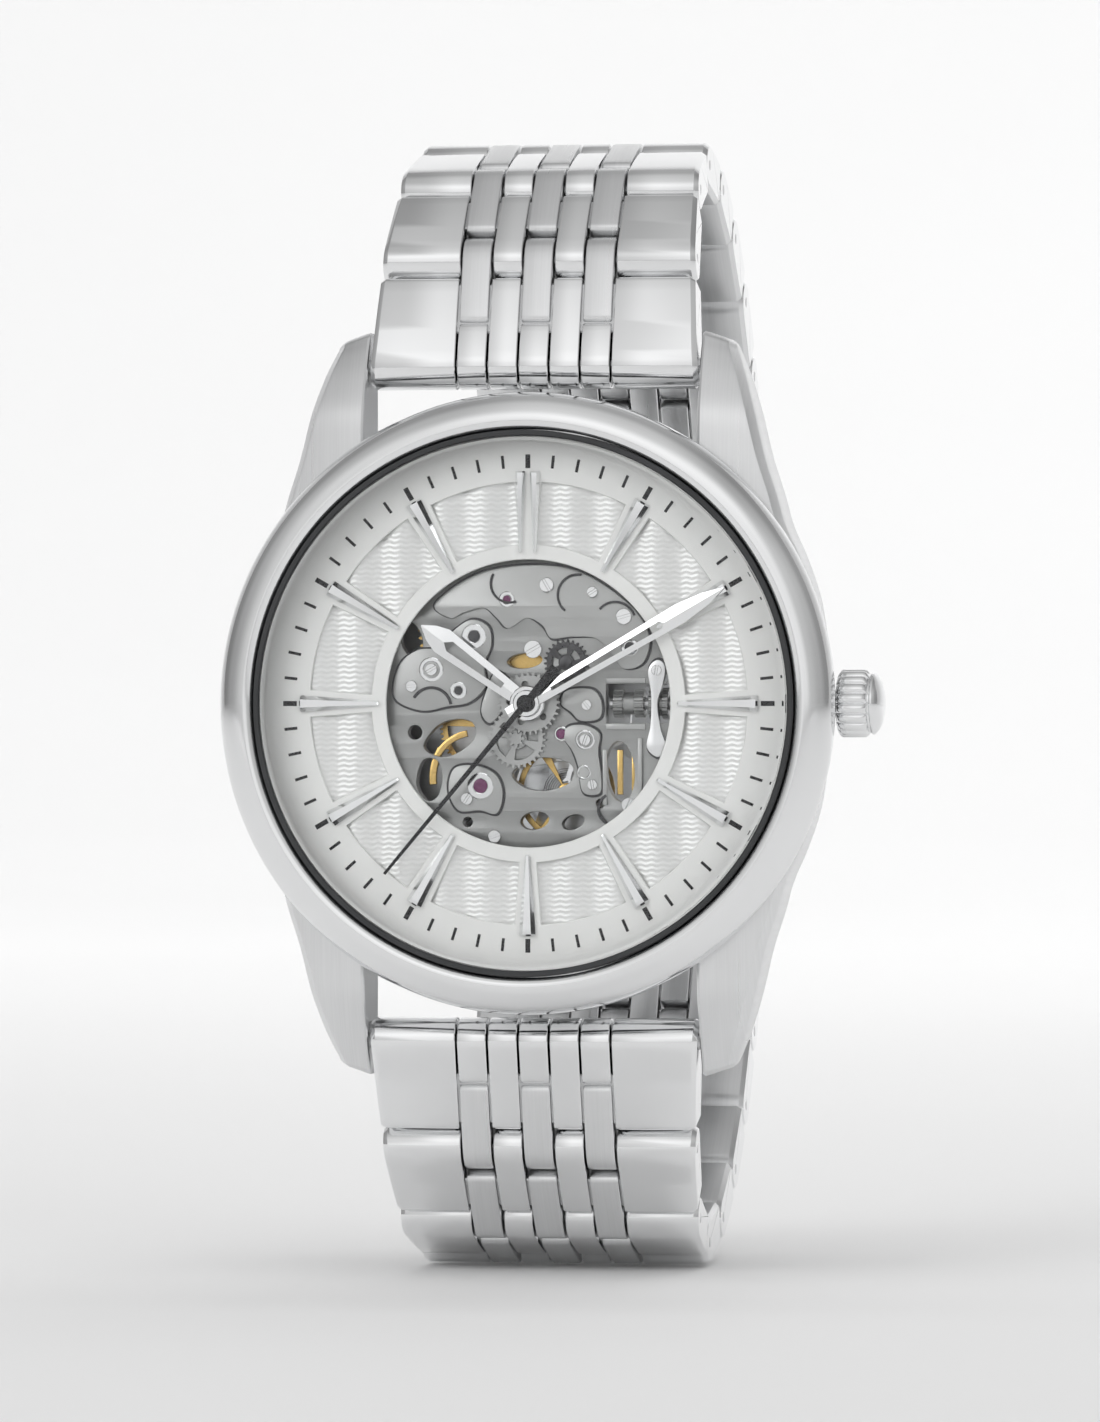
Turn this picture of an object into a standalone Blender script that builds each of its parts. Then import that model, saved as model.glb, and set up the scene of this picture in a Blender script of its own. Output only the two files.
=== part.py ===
"""Skeleton wristwatch with a seven-column link bracelet, as separate working parts.

World frame, in metres: +X towards the crown, +Z towards twelve o'clock, the dial faces -Y.
The origin is the centre of the case-back glass, on its outer flat face.
The watch head is modelled in a local frame with X to the right, Y up and Z out of the dial.
"""

import math

import bmesh
import bpy
from mathutils import Matrix, Vector

MM = 0.001

# Case
CASE_RADIUS = 20.6
BEZEL_RADIUS = 21.5
BEZEL_BORE = 18.9
CASE_BORE = 17.8
CASE_BOTTOM = 1.0
CASE_TOP = 7.9
LUG_GAP = 23.3
BAR_HEIGHT = 4.3
BAR_REACH = 23.4
STEM_HEIGHT = 5.6

# Dial and movement levels, measured out from the case-back face
APERTURE = 9.95
DIAL_RADIUS = 18.7
PLATE_BOTTOM = 5.5
PLATE_TOP = 6.7
BRIDGE_BOTTOM = 2.7
BRIDGE_TOP = 3.5
MOVEMENT_RADIUS = 12.8

# Going train: teeth, and the places of the arbors
BARREL_TEETH = 60
CENTRE_PINION = 10
CENTRE_TEETH = 64
THIRD_PINION = 8
THIRD_TEETH = 60
FOURTH_PINION = 8
FOURTH_TEETH = 60
ESCAPE_PINION = 6
ESCAPE_TEETH = 15
CANNON_TEETH = 10
MINUTE_TEETH = 30
MINUTE_PINION = 8
HOUR_TEETH = 32
WINDING_ANGLE = -18.0
CENTRE_MODULE = 0.105
FOURTH_MODULE = 0.115
BARREL_MODULE = 0.17
MOTION_MODULE = 0.13

# Bracelet
PITCH = 6.75
FIRST_PITCH = 7.8
LINK_THICKNESS = 3.2
LINK_GAP = 0.08
COLUMN_GROUP = 10.86
PIN_RADIUS = 0.42
PIN_BORE = 0.56
ROW_ANGLES = (17, 41, 72, 102, 118, 130, 141, 152)
ROW_HALF_WIDTHS = (11.45, 10.95, 10.5, 10.2, 10.2, 10.2, 10.2, 10.2)
CLASP_HALF_WIDTH = 10.2

HOUR_AT = 306.0
MINUTE_AT = 60.0
SECOND_AT = 220.0

STEEL = (0.62, 0.63, 0.65, 1.0)
SATIN = (0.45, 0.46, 0.48, 1.0)
DIAL_WHITE = (0.80, 0.81, 0.79, 1.0)
GOLD = (0.72, 0.52, 0.22, 1.0)
GREY = (0.32, 0.33, 0.35, 1.0)
BLACK = (0.02, 0.02, 0.02, 1.0)
GLASS = (0.80, 0.86, 0.90, 0.3)

for old in list(bpy.data.objects):
    bpy.data.objects.remove(old)

parts = bpy.data.collections.new("skeleton_wristwatch")
cutters = bpy.data.collections.new("cutters")
cutters.hide_render = True
bpy.context.scene.collection.children.link(parts)
bpy.context.scene.collection.children.link(cutters)


def material(name, color, roughness, metallic):
    made = bpy.data.materials.new(name)
    made.use_nodes = True
    shader = made.node_tree.nodes["Principled BSDF"]
    shader.inputs["Base Color"].default_value = color
    shader.inputs["Roughness"].default_value = roughness
    shader.inputs["Metallic"].default_value = metallic
    made.diffuse_color = color
    return made


def empty(name, location=(0, 0, 0), rotation=(0, 0, 0), parent=None):
    """A frame for other parts, placed in millimetres and degrees."""
    made = bpy.data.objects.new(name, None)
    made.location = Vector(location) * MM
    made.rotation_euler = [math.radians(a) for a in rotation]
    made.parent = parent
    parts.objects.link(made)
    return made


def show(obj, collection=parts, parent=None, at=(0, 0, 0), turn=0.0):
    """Put an object in a collection, at a place in millimetres, turned about its own Z."""
    for user in list(obj.users_collection):
        user.objects.unlink(obj)
    collection.objects.link(obj)
    obj.parent = parent
    obj.location = Vector(at) * MM
    obj.rotation_euler = (0, 0, math.radians(turn))
    if collection == cutters:
        obj.hide_render = True
        obj.display_type = "WIRE"
    return obj


def mesh_object(name, bm):
    """A new object from a bmesh in millimetres, with its normals pointing out."""
    bmesh.ops.scale(bm, vec=(MM, MM, MM), verts=bm.verts)
    bmesh.ops.recalc_face_normals(bm, faces=bm.faces)
    mesh = bpy.data.meshes.new(name)
    bm.to_mesh(mesh)
    bm.free()
    return bpy.data.objects.new(name, mesh)


def settled(obj, name=None):
    """The object's shape with its modifiers applied, as a plain welded mesh."""
    bpy.context.view_layer.update()
    graph = bpy.context.evaluated_depsgraph_get()
    mesh = bpy.data.meshes.new_from_object(obj.evaluated_get(graph))
    bm = bmesh.new()
    bm.from_mesh(mesh)
    bmesh.ops.remove_doubles(bm, verts=bm.verts, dist=0.0005 * MM)
    bm.to_mesh(mesh)
    bm.free()
    made = bpy.data.objects.new(name or obj.name, mesh)
    made.matrix_world = obj.matrix_world
    return made


def turned(name, profile, steps=48):
    """A turned shape from (radius, height) points: along the top outwards, then down the outside."""
    mesh = bpy.data.meshes.new(name)
    count = len(profile)
    closed = profile[0][0] > 0
    edges = [(i, i + 1) for i in range(count - 1)]
    if closed:
        edges.append((count - 1, 0))
    mesh.from_pydata([(r * MM, 0, h * MM) for r, h in profile], edges, [])
    obj = bpy.data.objects.new(name, mesh)
    screw = obj.modifiers.new("turn", "SCREW")
    screw.steps = steps
    screw.render_steps = steps
    screw.use_merge_vertices = True
    screw.merge_threshold = 0.000001
    screw.use_smooth_shade = False
    return obj


def ring(name, inner, outer, low, high, steps=48):
    return turned(name, [(inner, high), (outer, high), (outer, low), (inner, low)], steps)


def drum(name, radius, low, high, steps=24):
    return turned(name, [(0, high), (radius, high), (radius, low), (0, low)], steps)


def circle(radius, count, centre=(0, 0), start=0.0):
    step = 2 * math.pi / count
    angles = [math.radians(start) + step * i for i in range(count)]
    return [(centre[0] + radius * math.cos(a), centre[1] + radius * math.sin(a)) for a in angles]


def sector(inner, outer, first, last, centre=(0, 0), count=6):
    """The outline of a ring sector between two angles in degrees."""
    def arc(radius, start, end):
        angles = [math.radians(start + (end - start) * i / count) for i in range(count + 1)]
        return [(centre[0] + radius * math.cos(a), centre[1] + radius * math.sin(a)) for a in angles]
    return arc(outer, first, last) + arc(inner, last, first)


def plate(name, outlines, low, high):
    """A flat plate: the first outline is its edge, and the others are holes through it."""
    curve = bpy.data.curves.new(name, "CURVE")
    curve.dimensions = "2D"
    curve.fill_mode = "BOTH"
    curve.extrude = (high - low) / 2 * MM
    for outline in outlines:
        spline = curve.splines.new("POLY")
        spline.points.add(len(outline) - 1)
        for point, (x, y) in zip(spline.points, outline):
            point.co = (x * MM, y * MM, 0, 1)
        spline.use_cyclic_u = True
    guide = bpy.data.objects.new(name + "_outline", curve)
    bpy.context.scene.collection.objects.link(guide)
    guide.location.z = (low + high) / 2 * MM
    flat = settled(guide, name)
    flat.data.transform(Matrix.Translation((0, 0, (low + high) / 2 * MM)))
    flat.matrix_world = Matrix()
    bpy.data.objects.remove(guide)
    bm = bmesh.new()
    bm.from_mesh(flat.data)
    bmesh.ops.recalc_face_normals(bm, faces=bm.faces)
    bm.to_mesh(flat.data)
    bm.free()
    return flat


def gear_outline(teeth, module, start=0.0, addendum=0.8, dedendum=1.0):
    """Two points a tooth: a tip and a root."""
    pitch_radius = teeth * module / 2
    tip = pitch_radius + addendum * module
    root = pitch_radius - dedendum * module
    step = 2 * math.pi / teeth
    points = []
    for i in range(teeth):
        angle = math.radians(start) + step * i
        points.append((tip * math.cos(angle), tip * math.sin(angle)))
        points.append((root * math.cos(angle + step / 2), root * math.sin(angle + step / 2)))
    return points


def spoke_windows(inner, outer, count, web, start=0.0):
    """The windows between the spokes of a wheel; web is the spokes' angular width in degrees."""
    span = 360 / count
    return [
        sector(inner, outer, start + span * i + web / 2, start + span * (i + 1) - web / 2, count=2)
        for i in range(count)
    ]


def cylinder(name, radius, low, high, sides=12, centre=(0, 0)):
    bm = bmesh.new()
    bmesh.ops.create_cone(
        bm, cap_ends=True, segments=sides, radius1=radius, radius2=radius, depth=high - low
    )
    bmesh.ops.translate(bm, vec=(centre[0], centre[1], (low + high) / 2), verts=bm.verts)
    return mesh_object(name, bm)


def block(name, low, high):
    bm = bmesh.new()
    bmesh.ops.create_cube(bm, size=1.0)
    size = [h - l for l, h in zip(low, high)]
    bmesh.ops.scale(bm, vec=size, verts=bm.verts)
    bmesh.ops.translate(bm, vec=[(l + h) / 2 for l, h in zip(low, high)], verts=bm.verts)
    return mesh_object(name, bm)


def along_x(obj, height, reach=0.0):
    """Lay a piece made along Z down along X, at a height in the local frame."""
    obj.data.transform(Matrix.Rotation(math.radians(90), 4, "Y"))
    obj.data.transform(Matrix.Translation((0, reach * MM, height * MM)))
    return obj


def combine(obj, other, operation):
    """Boolean with a helper that shares the object's local frame."""
    show(other, cutters)
    cut = obj.modifiers.new(operation.lower(), "BOOLEAN")
    cut.operation = operation
    cut.solver = "EXACT"
    cut.object = other
    return obj


def baked(obj, finish, name=None):
    """Apply the modifiers at the origin, and keep the finish."""
    bpy.context.scene.collection.objects.link(obj)
    done = settled(obj, "work")
    done.matrix_world = Matrix()
    label = name or obj.name
    bpy.data.objects.remove(obj)
    done.name = label
    done.data.name = label
    done.data.materials.clear()
    done.data.materials.append(finish)
    return done


def smooth(obj, angle=35):
    obj.data.shade_smooth()
    obj.data.set_sharp_from_angle(angle=math.radians(angle))
    return obj


def place(obj, finish, parent, at=(0, 0, 0), turn=0.0):
    done = smooth(baked(obj, finish))
    return show(done, parts, parent, at, turn)


polished = material("polished_steel", STEEL, 0.12, 1.0)
satin = material("satin_steel", SATIN, 0.38, 1.0)
dial_finish = material("silver_dial", DIAL_WHITE, 0.5, 0.0)
gold = material("gilt_brass", GOLD, 0.28, 1.0)
movement_grey = material("grey_plate", GREY, 0.42, 1.0)
black = material("black_lacquer", BLACK, 0.4, 0.0)
glass = material("sapphire", GLASS, 0.03, 0.0)
rubber = material("black_gasket", BLACK, 0.6, 0.0)

head = empty("watch_head", rotation=(90, 0, 0))


# Case

def lug_side(sign):
    """One lug's outline beside the bracelet: inner face, rounded tip, then the outer sweep."""
    inner = LUG_GAP / 2
    outline = [
        (inner, 15.1), (17.6, 12.2), (17.2, 14.2), (16.3, 16.9), (15.6, 20.0), (14.9, 22.6),
        (14.0, 24.8), (13.0, 25.8), (12.2, 25.9), (inner, 25.4),
    ]
    return [(x * sign, y) for x, y in outline]


def case_middle():
    body = turned("case_middle", [
        (CASE_BORE, 6.9), (DIAL_RADIUS + 0.2, 6.9), (DIAL_RADIUS + 0.2, CASE_TOP), (19.9, CASE_TOP),
        (CASE_RADIUS, 7.2), (CASE_RADIUS, 2.2), (18.9, CASE_BOTTOM), (17.9, CASE_BOTTOM), (17.9, 2.4),
    ], 48)
    for sign_x in (1, -1):
        for sign_y in (1, -1):
            outline = [(x, y * sign_y) for x, y in lug_side(sign_x)]
            lug = plate("lug", [outline], 1.6, 7.3)
            bm = bmesh.new()
            bm.from_mesh(lug.data)
            for vert in bm.verts:
                past = abs(vert.co.y) / MM - 18.0
                if past > 0 and vert.co.z / MM > 4:
                    vert.co.z -= 0.055 * past * past * MM
            bmesh.ops.recalc_face_normals(bm, faces=bm.faces)
            bm.to_mesh(lug.data)
            bm.free()
            combine(body, lug, "UNION")
    for sign in (1, -1):
        bore = along_x(cylinder("bar_bore", 0.75, -13.2, 13.2, 8), BAR_HEIGHT, sign * BAR_REACH)
        combine(body, bore, "DIFFERENCE")
    tube_hole = along_x(cylinder("tube_hole", 1.05, 14.0, 24.0, 12), STEM_HEIGHT)
    combine(body, tube_hole, "DIFFERENCE")
    return place(body, polished, head)


case_middle()

bezel_profile = [
    (BEZEL_BORE, 10.4), (19.4, 10.7), (20.2, 10.55), (20.9, 10.0), (21.35, 9.2),
    (BEZEL_RADIUS, 8.5), (21.3, 8.0), (BEZEL_BORE, 8.0),
]
place(turned("bezel", bezel_profile, 48), polished, head)
place(drum("crystal", 18.35, 9.6, 10.9, 48), glass, head)
place(ring("crystal_gasket", 18.4, 18.85, 9.0, 10.55), rubber, head)
place(turned("rehaut_ring", [
    (18.45, 8.95), (18.85, 8.95), (18.75, 7.85), (18.6, 7.85),
], 40), black, head)

place(turned("case_back", [
    (13.2, 1.2), (17.0, 1.2), (17.0, 2.25), (17.8, 2.25), (17.8, 0.9), (18.8, 0.9), (18.0, 0.0),
    (13.2, 0.0),
], 40), satin, head)
place(drum("case_back_glass", 13.05, 0.0, 0.95, 40), glass, head)

holder = ring("movement_holder", MOVEMENT_RADIUS + 0.1, 17.7, 2.4, 6.6)
stem_slot = block("stem_slot", (10, -0.7, 4.9), (19, 0.7, 8))
place(combine(holder, stem_slot, "DIFFERENCE"), movement_grey, head)

crown_tube = along_x(baked(ring("crown_tube", 0.55, 1.0, 17.9, 21.75, 12), polished), 0)
place(crown_tube, polished, head, (0, 0, STEM_HEIGHT))


# Crown and keyless works, all on the stem's axis

def flutes(count, tip, root):
    points = []
    for i in range(count):
        for share, radius in ((0.0, tip), (0.35, tip), (0.5, root), (0.85, root)):
            angle = 2 * math.pi * (i + share) / count
            points.append((radius * math.cos(angle), radius * math.sin(angle)))
    return points


def crown():
    barrel = plate("crown", [flutes(18, 2.3, 2.12)], 22.0, 23.7)
    cap = turned("crown_cap", [
        (0, 24.7), (1.2, 24.6), (1.9, 24.25), (2.1, 23.9), (1.95, 23.6), (1.95, 23.0), (0, 23.0),
    ], 24)
    hollow = cylinder("crown_hollow", 1.25, 21.0, 22.9, 12)
    combine(barrel, cap, "UNION")
    combine(barrel, hollow, "DIFFERENCE")
    return along_x(baked(barrel, polished), 0)


crown_done = smooth(crown())
show(crown_done, parts, head, (0, 0, STEM_HEIGHT))
stem = along_x(cylinder("winding_stem", 0.42, 5.45, 22.6, 10), 0)
place(stem, satin, head, (0, 0, STEM_HEIGHT))


def stem_gear(name, low, high, teeth, tip, root, bore):
    outline = flutes(teeth, tip, root)
    return along_x(plate(name, [outline, circle(bore, 10)], low, high), 0)


place(stem_gear("sliding_pinion", 5.7, 7.9, 12, 1.0, 0.82, 0.52), satin, head, (0, 0, STEM_HEIGHT))
place(stem_gear("winding_pinion", 8.2, 9.6, 12, 1.12, 0.9, 0.52), satin, head, (0, 0, STEM_HEIGHT))

# Dial: a guilloche disc, and the applied frame with its rings, bars and hour markers
place(plate("dial_plate", [circle(DIAL_RADIUS, 48), circle(APERTURE + 0.3, 36)], 7.2, 7.42),
      dial_finish, head)


def dial_frame():
    outlines = [circle(DIAL_RADIUS, 48), circle(APERTURE, 36)]
    for hour in range(12):
        middle = 90 - hour * 30
        half_in = math.degrees(0.62 / 11.0)
        half_out = math.degrees(0.95 / 15.3)
        window = sector(11.0, 15.3, middle - 30 + half_in, middle - half_in, count=3)
        outer = sector(11.0, 15.3, middle - 30 + half_out, middle - half_out, count=3)
        outlines.append(outer[:4] + window[4:])
    frame = plate("dial_frame", outlines, 7.5, 7.72)
    for hour in range(12):
        turn = Matrix.Rotation(math.radians(-hour * 30), 4, "Z")
        bm = bmesh.new()
        section = ((10.7, 0.22), (15.6, 0.52), (16.05, 0.1))
        rows = []
        for reach, half in section:
            rows.append([
                bm.verts.new((-half, reach, 7.6)), bm.verts.new((0, reach, 8.05)),
                bm.verts.new((half, reach, 7.6)),
            ])
        for near, far in zip(rows, rows[1:]):
            for i in range(3):
                bm.faces.new((near[i], near[(i + 1) % 3], far[(i + 1) % 3], far[i]))
        bm.faces.new(rows[0])
        bm.faces.new(rows[-1])
        marker = mesh_object("hour_marker", bm)
        marker.data.transform(turn)
        combine(frame, marker, "UNION")
    return place(frame, dial_finish, head)


dial_frame()


# Hands: each is modelled pointing at twelve

def hand_blank(name, points, slot, low, high, hub, bore):
    outline = [(-x, y) for x, y in points] + [(x, y) for x, y in reversed(points)]
    outlines = [outline]
    if slot:
        outlines.append([(-x, y) for x, y in slot] + [(x, y) for x, y in reversed(slot)])
    blade = plate(name, outlines, low, high)
    combine(blade, cylinder("hand_hub", hub, low - 0.02, high + 0.02, 20), "UNION")
    if bore:
        combine(blade, cylinder("hand_bore", bore, low - 1, high + 1, 16), "DIFFERENCE")
    return blade


hour_hand = hand_blank(
    "hour_hand", [(0.62, -1.2), (0.78, 1.0), (0.95, 7.6), (0.22, 9.2)],
    [(0.33, 2.0), (0.5, 6.9)], 7.98, 8.14, 1.25, 0.83,
)
minute_hand = hand_blank(
    "minute_hand", [(0.5, -1.6), (0.6, 1.0), (0.72, 12.6), (0.16, 15.9)],
    [(0.2, 2.2), (0.3, 11.8)], 8.36, 8.52, 0.95, 0.53,
)
seconds_hand = hand_blank(
    "seconds_hand", [(0.42, -3.3), (0.14, -0.4), (0.13, 1.0), (0.05, 15.4)],
    None, 8.74, 8.86, 0.6, 0.18,
)
place(hour_hand, polished, head, turn=-HOUR_AT)
place(minute_hand, polished, head, turn=-MINUTE_AT)
place(seconds_hand, black, head, turn=-SECOND_AT)

# Going train: arbors on plan
THIRD_REACH = CENTRE_MODULE * (CENTRE_TEETH + THIRD_PINION) / 2
THIRD_MODULE = 2 * THIRD_REACH / (THIRD_TEETH + FOURTH_PINION)
ESCAPE_REACH = FOURTH_MODULE * (FOURTH_TEETH + ESCAPE_PINION) / 2
BARREL_REACH = BARREL_MODULE * (BARREL_TEETH + CENTRE_PINION) / 2
MOTION_REACH = MOTION_MODULE * (CANNON_TEETH + MINUTE_TEETH) / 2


def at_angle(reach, angle, origin=(0, 0)):
    a = math.radians(angle)
    return (origin[0] + reach * math.cos(a), origin[1] + reach * math.sin(a))


THIRD_AT = at_angle(THIRD_REACH, 206)
ESCAPE_AT = at_angle(ESCAPE_REACH, 335.4)
BARREL_AT = at_angle(BARREL_REACH, 120.5)
MOTION_AT = at_angle(MOTION_REACH, 250)
BALANCE_AT = (2.1, -6.1)
FORK_REACH = 2.3
BALANCE_DIRECTION = math.degrees(math.atan2(BALANCE_AT[1] - ESCAPE_AT[1], BALANCE_AT[0] - ESCAPE_AT[0]))
FORK_AT = at_angle(FORK_REACH, BALANCE_DIRECTION, ESCAPE_AT)
WINDING_MODULE = 0.22
RATCHET_TEETH = 40
CROWN_WHEEL_TEETH = 32
WINDING_REACH = WINDING_MODULE * (RATCHET_TEETH + CROWN_WHEEL_TEETH) / 2
CROWN_WHEEL_AT = at_angle(WINDING_REACH, WINDING_ANGLE, BARREL_AT)


def wheel(name, teeth, module, low, high, hub, spokes, web, start=0.0, rim=0.8):
    """A toothed wheel with spokes, modelled about its own arbor."""
    root = teeth * module / 2 - module
    windows = spoke_windows(hub, root - rim * 0.5, spokes, web) if spokes else []
    return plate(name, [gear_outline(teeth, module, start)] + windows, low, high)


def tooth_phase(angle, teeth):
    """Turn a pinion so that a gap, not a tip, faces a wheel's tip in that direction."""
    return angle + 180 / teeth


def third_wheel():
    body = wheel("third_wheel", THIRD_TEETH, THIRD_MODULE, 4.0, 4.1, 0.8, 4, 22, 206 + 180)
    pinion = plate("pinion", [gear_outline(THIRD_PINION, CENTRE_MODULE, tooth_phase(26, 8), 0.6)], 4.05, 4.9)
    combine(body, pinion, "UNION")
    combine(body, cylinder("arbor", 0.16, 3.56, 5.4, 10), "UNION")
    return place(body, gold, head, (*THIRD_AT, 0))


def fourth_wheel():
    body = wheel("fourth_wheel", FOURTH_TEETH, FOURTH_MODULE, 3.76, 3.88, 0.8, 4, 20, 335.4)
    pinion = plate("pinion", [gear_outline(FOURTH_PINION, THIRD_MODULE, tooth_phase(206, 8), 0.6)],
                   3.84, 4.2)
    combine(body, pinion, "UNION")
    combine(body, cylinder("arbor", 0.155, 3.56, 8.95, 10), "UNION")
    return place(body, gold, head)


def centre_wheel():
    body = wheel("centre_wheel", CENTRE_TEETH, CENTRE_MODULE, 4.3, 4.4, 0.9, 5, 18, 206)
    pinion = plate("pinion", [gear_outline(CENTRE_PINION, BARREL_MODULE, tooth_phase(120.5, 10),
                                           0.6)], 4.36, 5.3)
    combine(body, pinion, "UNION")
    combine(body, cylinder("centre_tube", 0.32, 4.28, 8.2, 12), "UNION")
    combine(body, cylinder("tube_bore", 0.2, 4.0, 9.0, 12), "DIFFERENCE")
    return place(body, gold, head)


def escape_wheel():
    outline = []
    for i in range(ESCAPE_TEETH):
        for share, radius in ((0.0, 1.8), (0.15, 1.76), (0.4, 1.4)):
            angle = 2 * math.pi * (i + share) / ESCAPE_TEETH
            outline.append((radius * math.cos(angle), radius * math.sin(angle)))
    body = plate("escape_wheel", [outline] + spoke_windows(0.4, 1.2, 4, 26), 4.95, 5.07)
    pinion = plate("pinion", [gear_outline(ESCAPE_PINION, FOURTH_MODULE, tooth_phase(155.4, 6),
                                           0.5)], 3.66, 4.3)
    combine(body, cylinder("arbor", 0.13, 3.56, 5.4, 10), "UNION")
    combine(body, pinion, "UNION")
    return place(body, satin, head, (*ESCAPE_AT, 0))


def barrel():
    body = plate("barrel", [gear_outline(BARREL_TEETH, BARREL_MODULE, 120.5 + 180)], 4.5, 4.66)
    combine(body, drum("barrel_drum", 4.6, 4.6, 5.3, 24), "UNION")
    combine(body, cylinder("barrel_arbor", 0.6, 3.56, 5.42, 12), "UNION")
    return place(body, gold, head, (*BARREL_AT, 0))


third_wheel()
fourth_wheel()
centre_wheel()
escape_wheel()
barrel()


def pallet_fork():
    toward_balance = BALANCE_DIRECTION
    lever = [(-0.16, 0.5), (-0.16, 1.45), (-0.34, 1.75), (-0.16, 1.75), (0, 1.6), (0.16, 1.75), (0.34, 1.75),
             (0.16, 1.45), (0.16, 0.5)]
    arms = [(0.9, -0.1), (1.2, -0.5), (0.9, -0.55), (0.35, -0.25), (-0.35, -0.25), (-0.9, -0.55),
            (-1.2, -0.5),
            (-0.9, -0.1)]
    body = plate("pallet_fork", [lever + arms], 4.93, 5.08)
    combine(body, cylinder("arbor", 0.13, 4.45, 5.42, 10), "UNION")
    return place(body, satin, head, (*FORK_AT, 0), toward_balance - 90)


pallet_fork()


def balance_wheel():
    body = plate("balance_wheel", [circle(3.5, 28)] + spoke_windows(0.55, 3.05, 3, 14), 3.95, 4.2)
    combine(body, cylinder("roller", 0.5, 4.66, 4.8, 16), "UNION")
    combine(body, cylinder("staff", 0.14, 3.56, 5.42, 10), "UNION")
    toward_fork = math.radians(BALANCE_DIRECTION + 180)
    pin_at = (0.38 * math.cos(toward_fork), 0.38 * math.sin(toward_fork))
    combine(body, cylinder("impulse_pin", 0.07, 4.7, 5.05, 8, pin_at), "UNION")
    return place(body, gold, head, (*BALANCE_AT, 0))


balance_wheel()


def hairspring(turns=3, per_turn=14, inner=0.5, outer=1.7):
    curve = bpy.data.curves.new("hairspring", "CURVE")
    curve.dimensions = "3D"
    curve.bevel_depth = 0.05 * MM
    curve.bevel_resolution = 0
    curve.use_fill_caps = True
    count = turns * per_turn
    spline = curve.splines.new("POLY")
    spline.points.add(count)
    for i, point in enumerate(spline.points):
        angle = 2 * math.pi * i / per_turn
        radius = inner + (outer - inner) * i / count
        point.co = (radius * math.cos(angle) * MM, radius * math.sin(angle) * MM, 3.78 * MM, 1)
    return place(bpy.data.objects.new("hairspring", curve), black, head, (*BALANCE_AT, 0))


hairspring()

# Motion works, on the dial side of the mainplate
cannon = plate("cannon_pinion", [gear_outline(CANNON_TEETH, MOTION_MODULE, tooth_phase(250, 10),
                                              0.6)], 6.8, 7.02)
combine(cannon, cylinder("cannon_pipe", 0.5, 6.9, 8.5, 16), "UNION")
combine(cannon, cylinder("cannon_bore", 0.345, 6.0, 9.0, 16), "DIFFERENCE")
place(cannon, satin, head)

minute_wheel = wheel("minute_wheel", MINUTE_TEETH, MOTION_MODULE, 6.83, 6.97, 0.7, 4, 30, 250 + 180)
combine(minute_wheel, plate("pinion", [gear_outline(MINUTE_PINION, MOTION_MODULE, tooth_phase(70, 8), 0.6)],
                            6.93, 7.36), "UNION")
place(minute_wheel, gold, head, (*MOTION_AT, 0))

hour_wheel = wheel("hour_wheel", HOUR_TEETH, MOTION_MODULE, 7.2, 7.34, 1.0, 0, 0, 250)
combine(hour_wheel, cylinder("hour_pipe", 0.8, 7.25, 8.12, 20), "UNION")
combine(hour_wheel, cylinder("hour_bore", 0.56, 6.0, 9.0, 20), "DIFFERENCE")
place(hour_wheel, gold, head)

# Mainplate, open around the balance, the third wheel, the barrel and the keyless works
stem_cut = [(10.2, -0.7), (10.2, -1.35), (5.3, -1.35), (5.3, 1.35), (10.2, 1.35), (10.2, 0.7)]
plate_edge = sector(0, MOVEMENT_RADIUS, 3.2, 356.8, count=36)[:37]
mainplate_outline = plate_edge + stem_cut
mainplate_holes = [
    circle(3.55, 20, BALANCE_AT),
    sector(0.9, 3.0, 150, 330, THIRD_AT, 8),
    sector(1.5, 4.2, 20, 150, BARREL_AT, 8),
    sector(1.6, 4.2, 190, 265, BARREL_AT, 6),
    sector(5.2, 8.6, 25, 58, count=5),
    sector(6.8, 9.2, 205, 228, count=4),
    circle(0.36, 12),
    circle(0.45, 10, (-9.4, 1.2)),
    circle(0.45, 10, (8.9, -4.9)),
    circle(0.45, 10, (6.3, 8.9)),
]
place(plate("mainplate", [mainplate_outline] + mainplate_holes, PLATE_BOTTOM, PLATE_TOP),
      movement_grey, head)

# Bridges and cock, on the case-back side
barrel_bridge_outline = sector(2.7, 12.4, 32, 172, count=14)
place(plate("barrel_bridge", [barrel_bridge_outline, circle(0.9, 12, BARREL_AT)], BRIDGE_BOTTOM, BRIDGE_TOP),
      satin, head)
train_outline = (
    sector(0.0, 12.4, 176, 236, count=8)[:9]
    + [(-1.6, -4.6), (3.9, -3.6), (6.4, -2.6), (6.6, 0.2), (1.9, 1.0), (-2.5, 0.3)]
)
place(plate("train_bridge", [train_outline], BRIDGE_BOTTOM, BRIDGE_TOP), satin, head)
cock_outline = sector(0.0, 12.4, 262, 312, count=8)[:9] + [(3.4, -5.0), (2.4, -4.7), (1.2, -4.9),
                                                           (0.6, -6.0)]
place(plate("balance_cock", [cock_outline], BRIDGE_BOTTOM, BRIDGE_TOP), satin, head)

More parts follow.
